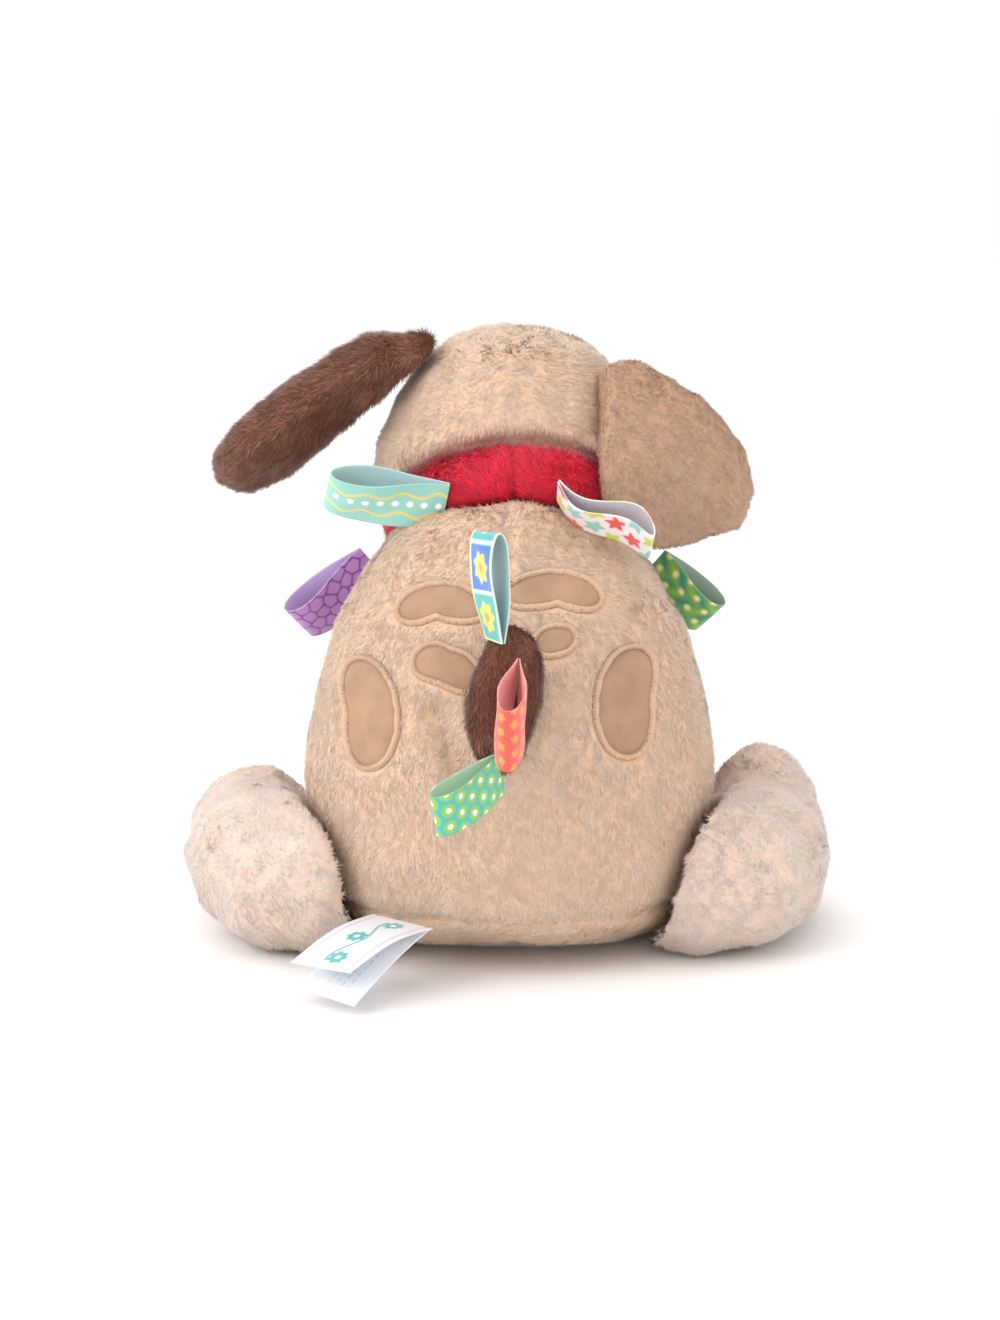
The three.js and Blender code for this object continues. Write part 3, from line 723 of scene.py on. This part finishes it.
LEGS = ["hind_leg_left", "hind_leg_right", "front_leg_left", "front_leg_right"]
SOFT_PARTS = {
    # piece: nodes, body, colour, fill, voxel, smoothing, inset, dents
    "head": (HEAD_NODES, "head", "beige", 0.9, 2.8, 8, 1.6, head_dents),
    "collar": (COLLAR_NODES, "torso", "red", 0.6, 1.8, 6, -2.6, collar_dents),
    "ear_left": (ear_nodes("left"), "ear_left", "brown", 0.4, 2.0, 5, -0.8, soft_dents(41, 0.8, 0.6)),
    "ear_right": (ear_nodes("right"), "ear_right", "tan", 0.4, 2.0, 16, -1.0, soft_dents(43, 0.8, 0.4)),
    "tail": (["tail_left", "tail_right", "tail_stuffing"], "tail", "brown", 0.5, 1.6, 4, -0.8, tail_dents),
    **{leg: (leg_nodes(leg), leg, "cream", 0.85, 2.8, 10, 1.4, soft_dents(47 + 2 * i, 0.9, 0.5))
       for i, leg in enumerate(LEGS)},
}
COLLAR_RAISE = np.array([0.0, 1.0, 3.2])
soft = {}
for name, (nodes, body, colour, fill, voxel, smooth, inset, dents) in SOFT_PARTS.items():
    shape = skin(name, nodes, backing[colour], voxel, smooth, inset, dents)
    if name == "collar":
        shape.data.transform(Matrix.Translation(COLLAR_RAISE * MM))
    soft[name] = padded_piece(shape, body, nodes)

inside = {name: within(shape) for name, shape in soft.items()}
inside["trunk"] = within(trunk)


def clear_of(*names):
    """Keeps roots that aren't inside these pieces."""
    def keep(roots, up):
        buried = np.zeros(len(roots), bool)
        for name in names:
            buried |= inside[name](roots)
        return ~buried
    return keep


# ---- the plush surfaces
PILE_SPLIT = (3, 92)              # the back's pile is made in four pieces that meet here
trunk_points = coords(trunk.data)
trunk_part = nearest_group(trunk_points, [BACK_NODES + PATCH_NODES, ["belly"], ["seat"]])
back_low = drawn(trunk_points)[:, 1] < PILE_SPLIT[1]
to_left = drawn(trunk_points)[:, 0] > PILE_SPLIT[0]
trunk_clear = clear_of("collar", *LEGS)


def back_part(obj, vertex_part, colour):
    """Gives the backing of one part of a skin its own colour."""
    obj.data.materials.append(backing[colour])
    faces = np.empty(len(obj.data.polygons), np.int32)
    obj.data.polygons.foreach_get("material_index", faces)
    first = np.array([face.vertices[0] for face in obj.data.polygons])
    faces[vertex_part[first]] = len(obj.data.materials) - 1
    obj.data.polygons.foreach_set("material_index", faces)


back_part(trunk, trunk_part == 1, "cream")


def back_clear(roots, up):
    return off_patches(roots, up) & trunk_clear(roots, up)


DOWN = nap_along((0, 0.1, -1), 0.55)
ACROSS = nap_along((1, 0.2, -0.2), 0.4)
for height, low in (("upper", False), ("lower", True)):
    for side, left in (("left", True), ("right", False)):
        pile_piece(f"back_pile_{height}_{side}", trunk, "beige", "torso", DOWN, 2.1,
                   seed=20 + 2 * low + left, keep=back_clear,
                   part=(trunk_part == 0) & (back_low == low) & (to_left == left))
pile_piece("belly_pile", trunk, "cream", "torso", DOWN, 1.7, seed=25, keep=trunk_clear, part=trunk_part == 1)
pile_piece("seat_pile", trunk, "beige", "torso", ACROSS, 1.7, seed=26, keep=trunk_clear,
           part=trunk_part == 2)

head_part = nearest_group(coords(soft["head"].data), [CROWN_NODES, MUZZLE_NODES])
back_part(soft["head"], head_part == 1, "white")
OVER_HEAD = nap_along((0, -0.3, -0.8), 0.4)
head_left = coords(soft["head"].data)[:, 0] > centre("nose")[0]
for side, left in (("left", True), ("right", False)):
    pile_piece(f"head_pile_{side}", soft["head"], "beige", "head", OVER_HEAD, 2.0, seed=50 + left,
               keep=clear_of("collar"), part=(head_part == 0) & (head_left == left))
pile_piece("muzzle_pile", soft["head"], "white", "head", OVER_HEAD, 2.1, seed=28,
           keep=clear_of("collar"), part=head_part == 1)
pile_piece("ear_left_pile", soft["ear_left"], "brown", "ear_left", nap_along((0.85, 0, -0.6), 0.3), 2.2,
           length=4.6, width=0.7, lean=62, seed=29)
pile_piece("ear_right_pile", soft["ear_right"], "tan", "ear_right", nap_along((-0.3, 0.1, -1), 0.3), 2.2,
           length=3.0, seed=30)
pile_piece("tail_pile", soft["tail"], "brown", "tail", nap_along((0, 0.4, -0.8), 0.4), 2.2, length=3.8,
           seed=31)
pile_piece("collar_pile", soft["collar"], "red", "torso", nap_along((0.3, 0.4, 0.6), 0.7), 2.2, length=4.2,
           lean=52, seed=32)
DOWN_LEG = nap_along((0, -0.5, -0.6), 0.5)
for i, leg in enumerate(LEGS):
    part = nearest_group(coords(soft[leg].data), [[f"{leg}_cover"], [f"{leg}_sole"]])
    back_part(soft[leg], part == 1, "white")
    for kind, colour, per_mm2 in (("pile", "cream", 2.0), ("sole_pile", "white", 2.6)):
        pile_piece(f"{leg}_{kind}", soft[leg], colour, leg, DOWN_LEG, per_mm2, length=3.1, seed=33 + i,
                   keep=clear_of("trunk"), part=part == (kind == "sole_pile"))

# ---- the stuffed ball in the neck
fibre = mottled(principled("polyester_fibre", srgb("e8e6e2"), 1.0, 0.3, (1, 1, 1, 1), 0.1),
                srgb("e8e6e2"), 90, 0.8, 1.05, 700, 0.6, 0.0006)
neck = skin("neck_ball", ["neck_stuffing"], fibre, 2.2, 6, 0.4, soft_dents(57, 0.4, 0.3))
padded_piece(neck, "neck", ["neck_stuffing"])

# ---- face: stitched nose and mouth, bead eyes
head_tree = BVHTree.FromPolygons(coords(soft["head"].data).tolist(), triangles(soft["head"].data).tolist())
NOSE_AT = centre("nose")
MOUTH = [[(0.0, -7.0), (0.0, -19.0)]] + [
    [(side * 11.0 * math.sin(t), -19.0 - 5.5 * math.sin(t) + 3.6 * math.sin(t) ** 3)
     for t in np.linspace(0, 1.5, 12)]
    for side in (-1, 1)]
MOUTH_PROFILE = [(-1.1, 1.5), (-0.6, 2.5), (0.0, 2.8), (0.6, 2.5), (1.1, 1.5)]
dark_thread = principled("dark_thread", srgb("2b211f"), 0.45, 0.2, (1, 0.95, 0.9, 1), 0.4)
BEAD_PROFILE = [(0.0, -0.8), (0.9, -0.8), (1.0, -0.6), (1.0, -0.35), (0.88, -0.3), (0.86, -0.1), (0.82, 0.2),
                (0.72, 0.5), (0.56, 0.76), (0.34, 0.93), (0.15, 0.99), (0.0, 1.0)]     # radius, height
bead = principled("bead", srgb("1d1614"), 0.12, specular=0.6)


def onto_muzzle(flat, lift):
    """Points on the muzzle that stand at flat across and up from the nose, seen from the front."""
    out = []
    for across, up in flat:
        start = Vector(NOSE_AT + [across, -60, up])
        spot, normal, _, _ = head_tree.ray_cast(start, Vector((0, 1, 0)))
        out.append(np.array(spot) + np.array(normal) * lift)
    return np.array(out)


def spaced_line(line, pitch):
    line = np.array(line, float)
    run = np.concatenate([[0], np.cumsum(np.linalg.norm(np.diff(line, axis=0), axis=1))])
    spots = np.linspace(0, run[-1], int(run[-1] / pitch))
    return np.stack([np.interp(spots, run, line[:, k]) for k in range(2)], axis=1)


def mouth_line(line):
    """A line of satin stitch on the muzzle."""
    middle = spaced_line(line, EDGE_PITCH)
    ahead = unit(np.gradient(middle, axis=0))
    side = np.stack([ahead[:, 1], -ahead[:, 0]], axis=1)
    rows = [onto_muzzle(middle + side * out, lift) for out, lift in MOUTH_PROFILE]
    tangent = unit(np.gradient(rows[2], axis=0))
    normal = unit(np.cross(unit(rows[4] - rows[0]), tangent))
    normal *= -np.sign(normal[:, 1:2])
    return bars("mouth_line", rows, tangent, normal, THREAD_HALF, [dark_thread])


def stitched_nose():
    """A rounded triangle, wide at the top, with the ridges of its satin stitch."""
    lowest, highest = (np.array(corner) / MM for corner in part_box("nose"))
    half = (highest - lowest) / 2
    rings, sides = 40, 72
    points = []
    for i in range(1, rings):
        up = math.cos(math.pi * i / rings)
        level = math.sin(math.pi * i / rings) ** 0.9
        for k in range(sides):
            turn = 2 * math.pi * k / sides
            across, out = math.cos(turn), math.sin(turn)
            taper = 1 - 0.34 * (0.5 - up / 2) ** 1.3
            ridge = 1 + 0.018 * math.sin(across * 40)
            points.append(NOSE_AT + half * [across * level * taper, out * level * ridge,
                                            up * (1 - 0.12 * across ** 2)])
    points += [NOSE_AT + [0, 0, half[2]], NOSE_AT - [0, 0, half[2]]]
    faces = ring_faces(rings - 1, sides, inward=True)
    top, bottom, last = len(points) - 2, len(points) - 1, (rings - 2) * sides
    for k in range(sides):
        j = (k + 1) % sides
        faces += [[top, k, j], [last + k, bottom, last + j]]
    return make_mesh("nose_stitched", points, faces, [dark_thread])


def bead_eye(node):
    """A turned bead: a flange against the plush and a dome on it, along the way the face looks there."""
    middle = centre(node)
    lowest, highest = (np.array(corner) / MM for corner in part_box(node))
    half = (highest - lowest) / 2
    facing = unit(middle - centre("head_stuffing") - [0, 0, 12])
    side = unit(np.cross([0, 0, 1], facing))
    up = np.cross(facing, side)
    profile, sides = BEAD_PROFILE, 48
    points = [middle + facing * profile[0][1] * half[1]]
    for radius, height in profile[1:-1]:
        for k in range(sides):
            turn = 2 * math.pi * k / sides
            points.append(middle + side * radius * half[0] * math.cos(turn)
                          + up * radius * half[2] * math.sin(turn) + facing * height * half[1])
    points.append(middle + facing * half[1])
    faces = ring_faces(len(profile) - 2, sides, first=1)
    last = 1 + (len(profile) - 3) * sides
    for k in range(sides):
        j = (k + 1) % sides
        faces += [[0, 1 + j, 1 + k], [len(points) - 1, last + k, last + j]]
    return make_mesh(f"bead_{node}", points, faces, [bead])


def face_piece(obj, *nodes):
    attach(obj, "head")
    if nodes:
        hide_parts(*nodes)
    return obj


face_piece(stitched_nose(), "nose")
for eye in ("eye_left", "eye_right"):
    face_piece(bead_eye(eye), eye)
mouth_rows = [mouth_line(line) for line in MOUTH]
for k, row in enumerate(mouth_rows):
    row.name = f"mouth_stitch_{k + 1}"
    face_piece(row)

# ---- satin ribbons
RIBBON_THICKNESS = 0.5
AQUA, DEEP_TEAL, GREY_BLUE = srgb("93cfc4"), srgb("3fb3b0"), srgb("a9c9cf")
LIME, LEAF, MINT, PALE_GREEN = srgb("cfdc4e"), srgb("86c24e"), srgb("b9e0c4"), srgb("cfeec0")
CORAL, ORANGE, PINK = srgb("ec5349"), srgb("f7943a"), srgb("f4a9a6")
YELLOW, BLUE, BONE = srgb("f6d44a"), srgb("3f78d6"), srgb("f1edf2")
PLUM, LAVENDER, LILAC = srgb("7a3f8c"), srgb("b487cb"), srgb("cdb5e2")
SPRUCE, SAGE = srgb("3d9480"), srgb("a9bfae")


def blended(under, over, mask):
    mask = np.clip(mask, 0, 1)[:, None]
    return np.asarray(under)[..., :3] * (1 - mask) + np.asarray(over)[..., :3] * mask


def plain(colour, count):
    return np.tile(np.asarray(colour[:3], float), (count, 1))


def disc(along, across, at, radius, soft_edge=0.35):
    return (radius - np.hypot(along - at[0], across - at[1])) / soft_edge + 0.5


def star(along, across, at, radius, turn=0.0, points=5, waist=0.5):
    dx, dy = along - at[0], across - at[1]
    phase = ((np.arctan2(dy, dx) + turn) / (2 * math.pi) * points) % 1
    edge = radius * (waist + (1 - waist) * (np.abs(phase - 0.5) * 2) ** 1.2)
    return (edge - np.hypot(dx, dy)) / 0.35 + 0.5


def scattered(pitch_along, pitch_across, length, width):
    """Places in staggered rows over a ribbon."""
    places = []
    row = 0
    along = pitch_along / 2
    while along < length:
        start = -width / 2 + pitch_across * (0.5 if row % 2 else 0.0)
        places += [(along, across) for across in np.arange(start, width / 2 + 1, pitch_across)]
        along += pitch_along
        row += 1
    return places


def paint_waves(along, across, length, width):
    """Aqua with two yellow waved lines and a row of white dots."""
    colour = plain(AQUA, len(along))
    for shift in (-4.5, 4.5):
        wave = shift + 1.2 * np.sin(along * 0.42)
        colour = blended(colour, YELLOW, (0.5 - np.abs(across - wave)) / 0.3 + 0.5)
    for at in np.arange(3, length, 6.0):
        colour = blended(colour, (1, 1, 1), disc(along, across, (at, 0.9 * math.sin(at)), 1.3))
    return colour


def paint_stars(along, across, length, width):
    colour = plain(BONE, len(along))
    for i, at in enumerate(scattered(8.5, 11.0, length, width)):
        colour = blended(colour, (CORAL, LIME, AQUA)[i % 3], star(along, across, at, 4.8, 0.5 * i))
    return colour


def paint_pebbles(along, across, length, width):
    rng = np.random.default_rng(5)
    seeds = np.array(scattered(5.2, 6.4, length + 6, width + 8)) + [0, -2]
    seeds = seeds + rng.uniform(-1.3, 1.3, seeds.shape)
    far = np.hypot(along[:, None] - seeds[:, 0], across[:, None] - seeds[:, 1])
    far.sort(axis=1)
    return blended(plain(LAVENDER, len(along)), PLUM, (0.75 - (far[:, 1] - far[:, 0])) / 0.5 + 0.5)


def paint_dots(along, across, length, width):
    patchy = 0.5 + 0.6 * np.sin(along * 0.55 + 1.3 * np.sin(across * 0.5)) * np.cos(across * 0.45)
    colour = blended(plain(SPRUCE, len(along)), LEAF, patchy)
    for at in scattered(6.5, 7.0, length, width):
        colour = blended(colour, LIME, disc(along, across, at, 1.7))
        colour = blended(colour, BONE, disc(along, across, at, 0.9))
    return colour


def paint_circles(along, across, length, width):
    colour = plain(DEEP_TEAL, len(along))
    for at in scattered(6.2, 7.0, length, width):
        colour = blended(colour, LEAF, disc(along, across, at, 2.9))
        colour = blended(colour, (1, 1, 1), disc(along, across, at, 1.1))
    return colour


def paint_spots(along, across, length, width):
    colour = plain(CORAL, len(along))
    for i, at in enumerate(scattered(5.6, 6.0, length, width)):
        colour = blended(colour, ORANGE, star(along, across, at, 2.1, 0.9 * i, waist=0.62))
    return colour


def paint_panels(along, across, length, width):
    """Square panels, each with one round flower, and pale borders between them."""
    panel = 19.0
    number = np.floor(along / panel)
    colour = blended(plain(DEEP_TEAL, len(along)), BLUE, (number % 2 == 1) * 1.0)
    for k in range(int(length / panel) + 1):
        at = (panel * (k + 0.5), 0.0)
        colour = blended(colour, YELLOW, star(along, across, at, 6.5, 0.3, points=7, waist=0.72))
        colour = blended(colour, ORANGE, disc(along, across, at, 1.8))
    to_border = np.minimum(along - number * panel, (number + 1) * panel - along)
    colour = blended(colour, PALE_GREEN, (0.8 - to_border) / 0.35 + 0.5)
    return blended(colour, PALE_GREEN, (np.abs(across) - width / 2 + 1.3) / 0.35 + 0.5)


def satin_material(name):
    """Printed satin: colour from the piece's own print, with fine threads."""
    material = principled(name, (0.8, 0.8, 0.8, 1), 0.4, 0.25, (1, 1, 1, 1), 0.45)
    nodes = material.node_tree.nodes
    stored = nodes.new("ShaderNodeAttribute")
    stored.attribute_name = "print"
    material.node_tree.links.new(stored.outputs["Color"], nodes["Principled BSDF"].inputs["Base Color"])
    grained(material, 1600, 0.25, 0.0001, detail=2.0)
    return material


def thin_sheet(name, outer, inner, outer_colour, inner_colour, material):
    """A closed sheet between two grids of points, (rows, columns, 3) each."""
    rows, columns = outer.shape[:2]
    points = np.vstack([outer.reshape(-1, 3), inner.reshape(-1, 3)])
    half = rows * columns
    grid = np.arange(half).reshape(rows, columns)
    a, b, c, d = grid[:-1, :-1].ravel(), grid[1:, :-1].ravel(), grid[1:, 1:].ravel(), grid[:-1, 1:].ravel()
    quads = [np.stack([a, d, c, b], axis=1), np.stack([a, b, c, d], axis=1) + half]
    for line, flip in ((grid[:, 0], False), (grid[:, -1], True), (grid[0, :], True), (grid[-1, :], False)):
        wall = np.stack([line[:-1], line[1:], line[1:] + half, line[:-1] + half], axis=1)
        quads.append(wall[:, ::-1] if flip else wall)
    obj = make_mesh(name, points, np.vstack(quads), [material])
    layer = obj.data.color_attributes.new("print", "FLOAT_COLOR", "POINT")
    colours = np.ones((2 * half, 4), np.float32)
    colours[:half, :3] = outer_colour
    colours[half:, :3] = inner_colour
    layer.data.foreach_set("color", colours.ravel())
    return obj


def smoothstep(x):
    x = np.clip(x, 0, 1)
    return x * x * (3 - 2 * x)


def rolled_layers(root, axes, x, y, normal, w, roll, thickness, flutter):
    """The two faces of a strip: x and y run along and through it, w across it, and it is rolled about x."""
    along, through, across = axes
    layers = []
    for side in (0.5, -0.5):
        px = (x + normal[:, 0] * thickness * side)[:, None] + 0 * w[None]
        py = (y + normal[:, 1] * thickness * side)[:, None] + flutter
        pw = w[None] + 0 * px
        turned_y = py * np.cos(roll) - pw * np.sin(roll)
        turned_w = py * np.sin(roll) + pw * np.cos(roll)
        layers.append(root + px[..., None] * along + turned_y[..., None] * through
                      + turned_w[..., None] * across)
    return layers


def ribbon_axes(node, body, lift=0.0):
    """Where a ribbon is sewn on, its own axes (along, through, across), and its length and width.
    lift raises its tip by some degrees."""
    joint = joints[body]
    root = np.array(joint["pos_m"]) / MM
    across = unit(np.array(joint["axis"], float))
    reach = coords(frame["nodes"][node].data) - root
    flat = reach - (reach @ across)[:, None] * across
    far = flat[np.argmax(np.linalg.norm(flat, axis=1))]
    along = unit(far)
    width = (reach @ across).max() - (reach @ across).min()
    through = np.cross(across, along)
    turn = math.radians(lift) * np.sign(across[2])
    along, across = (along * math.cos(turn) + across * math.sin(turn),
                     across * math.cos(turn) - along * math.sin(turn))
    return root, along, through, across, np.linalg.norm(far), width


TAGS = {
    # tag: slot, print, inside colour, bulge, roll at the root and at the tip, sideways sway, width, lift,
    # and how deep it is sewn in
    "tag_teal": ("teal_ribbon", paint_waves, srgb("bcd9da"), 7.5, -15, -42, 0.0, 20, 0, 1.0),
    "tag_stars": ("white_ribbon", paint_stars, srgb("d9d3d8"), 5.0, 62, 50, 3.5, 17, 0, 1.0),
    "tag_purple": ("purple_ribbon", paint_pebbles, LILAC, 7.5, -15, -38, 0.0, 20, 0, 1.0),
    "tag_dots": ("green_ribbon", paint_dots, SAGE, 6.5, 15, 38, 0.0, 20, 0, 1.0),
    "tag_yellow": ("yellow_ribbon", paint_panels, GREY_BLUE, 4.6, 4, 10, 0.0, 19, 0, 2.5),
    "tag_red": ("orange_ribbon", paint_spots, PINK, 6.5, 0, 0, 0.0, 25, 15, 5.5),
    "tag_green": ("green_ribbon", paint_circles, MINT, 6.0, 0, 0, 0.0, 17, 6, 2.5),
}
GRID = 0.5


def ribbon(name, paint, inside_colour, bulge, roll_root, roll_tip, sway, width, lift, sewn_in):
    """A ribbon folded on itself and sewn in at its root, its two layers parted into a drop."""
    root, along, through, across, length, _ = ribbon_axes(name, name, lift)
    root = root - along * sewn_in
    steps = int(2.1 * length / GRID)
    t = np.linspace(0, 2 * math.pi, steps)
    x = length * 0.5 * (1 - np.cos(t))
    y = bulge * np.sin(t) * np.sin(t / 2) ** 1.2 + 0.45 * np.cos(t / 2)
    y = y + sway * np.sin(2 * math.pi * x / length)
    step = np.stack([np.gradient(x), np.gradient(y)], axis=1)
    run = np.concatenate([[0], np.cumsum(np.hypot(np.diff(x), np.diff(y)))])
    normal = unit(np.stack([-step[:, 1], step[:, 0]], axis=1))
    w = np.linspace(-width / 2, width / 2, int(width / GRID))
    roll = np.radians(roll_root + (roll_tip - roll_root) * smoothstep(x / length))[:, None]
    flutter = 0.35 * np.sin(run[:, None] * 0.21 + w[None] * 0.22)
    layers = rolled_layers(root, (along, through, across), x, y, normal, w, roll, RIBBON_THICKNESS, flutter)
    outer_colour = paint(np.repeat(run, len(w)), np.tile(w, steps), run[-1], width)
    obj = thin_sheet(f"ribbon_{name[4:]}", *layers, outer_colour, np.array(inside_colour[:3]), satin)
    return obj, run[-1]


satin = satin_material("printed_satin")
for tag, (slot, paint, inside_colour, *form) in TAGS.items():
    loop, cut = ribbon(tag, paint, inside_colour, *form)
    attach(loop, tag)
    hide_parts(tag)

# ---- care label
LABEL_THICKNESS = 0.4
LABEL_BACK = srgb("e9eaf0")
LEAVES = {
    # leaf: lift of its middle, curl of its tip, twist at its tip in degrees
    "label_upper": (2.5, -1.5, 4),
    "label_lower": (1.5, 0.0, -4),
}


def paint_upper_leaf(along, across, length, width):
    """A garland: a thin teal wave with a round flower in each bend."""
    colour = plain(srgb("eceaf0"), len(along))
    bend = length / 3
    wave = 2.4 * np.sin(math.pi * along / bend)
    inside_run = (along > 6) & (along < length - 5)
    colour = blended(colour, DEEP_TEAL, ((0.6 - np.abs(across - wave)) / 0.4 + 0.5) * inside_run)
    for k in range(3):
        at = (bend * (k + 0.5), -2.2 if k % 2 == 0 else 2.2)
        colour = blended(colour, DEEP_TEAL, star(along, across, at, 4.6, 0.4 * k, points=7, waist=0.72))
        colour = blended(colour, (1, 1, 1), disc(along, across, at, 1.3))
    frame_line = (0.3 - np.abs(np.abs(across) - width / 2 + 3.2)) / 0.3 + 0.5
    return blended(colour, srgb("b9b2c6"), frame_line)


def paint_lower_leaf(along, across, length, width):
    colour = blended(plain(srgb("f0f1f6"), len(along)), srgb("cfe0e6"),
                     disc(along, across, (length * 0.68, 0.0), 7.5, 6.0) * 0.7)
    for k in range(4):
        line = (0.25 - np.abs(across + 6 - 3.2 * k)) / 0.3 + 0.5
        dashes = (np.sin(along * 1.7 + 2.1 * k) > -0.3) & (along > length * 0.45) & (along < length * 0.85)
        colour = blended(colour, srgb("b4b7c4"), line * dashes)
    return colour


def label_leaf(node, paint, lift, curl, twist):
    root, along, through, across, length, width = ribbon_axes(node, "care_label")
    if through[2] < 0:
        through, across = -through, -across
    steps = int(length / GRID)
    x = np.linspace(0, length, steps)
    y = lift * np.sin(math.pi * x / length) + curl * smoothstep(x / length * 1.4 - 0.4)
    w = np.linspace(-width / 2, width / 2, int(width / GRID))
    roll = np.radians(twist * x / length)[:, None]
    normal = np.tile([0.0, 1.0], (steps, 1))
    axes = (along, through, across)
    layers = rolled_layers(root, axes, x, y, normal, w, roll, LABEL_THICKNESS, 0 * w[None])
    colour = paint(np.repeat(x, len(w)), np.tile(w, steps), length, width)
    obj = thin_sheet(node.replace("label", "care_label"), *layers, colour, np.array(LABEL_BACK[:3]), satin)
    return obj, length, width


for node, paint in (("label_upper", paint_upper_leaf), ("label_lower", paint_lower_leaf)):
    leaf, leaf_length, leaf_width = label_leaf(node, paint, *LEAVES[node])
    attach(leaf, "care_label")
    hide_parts(node)
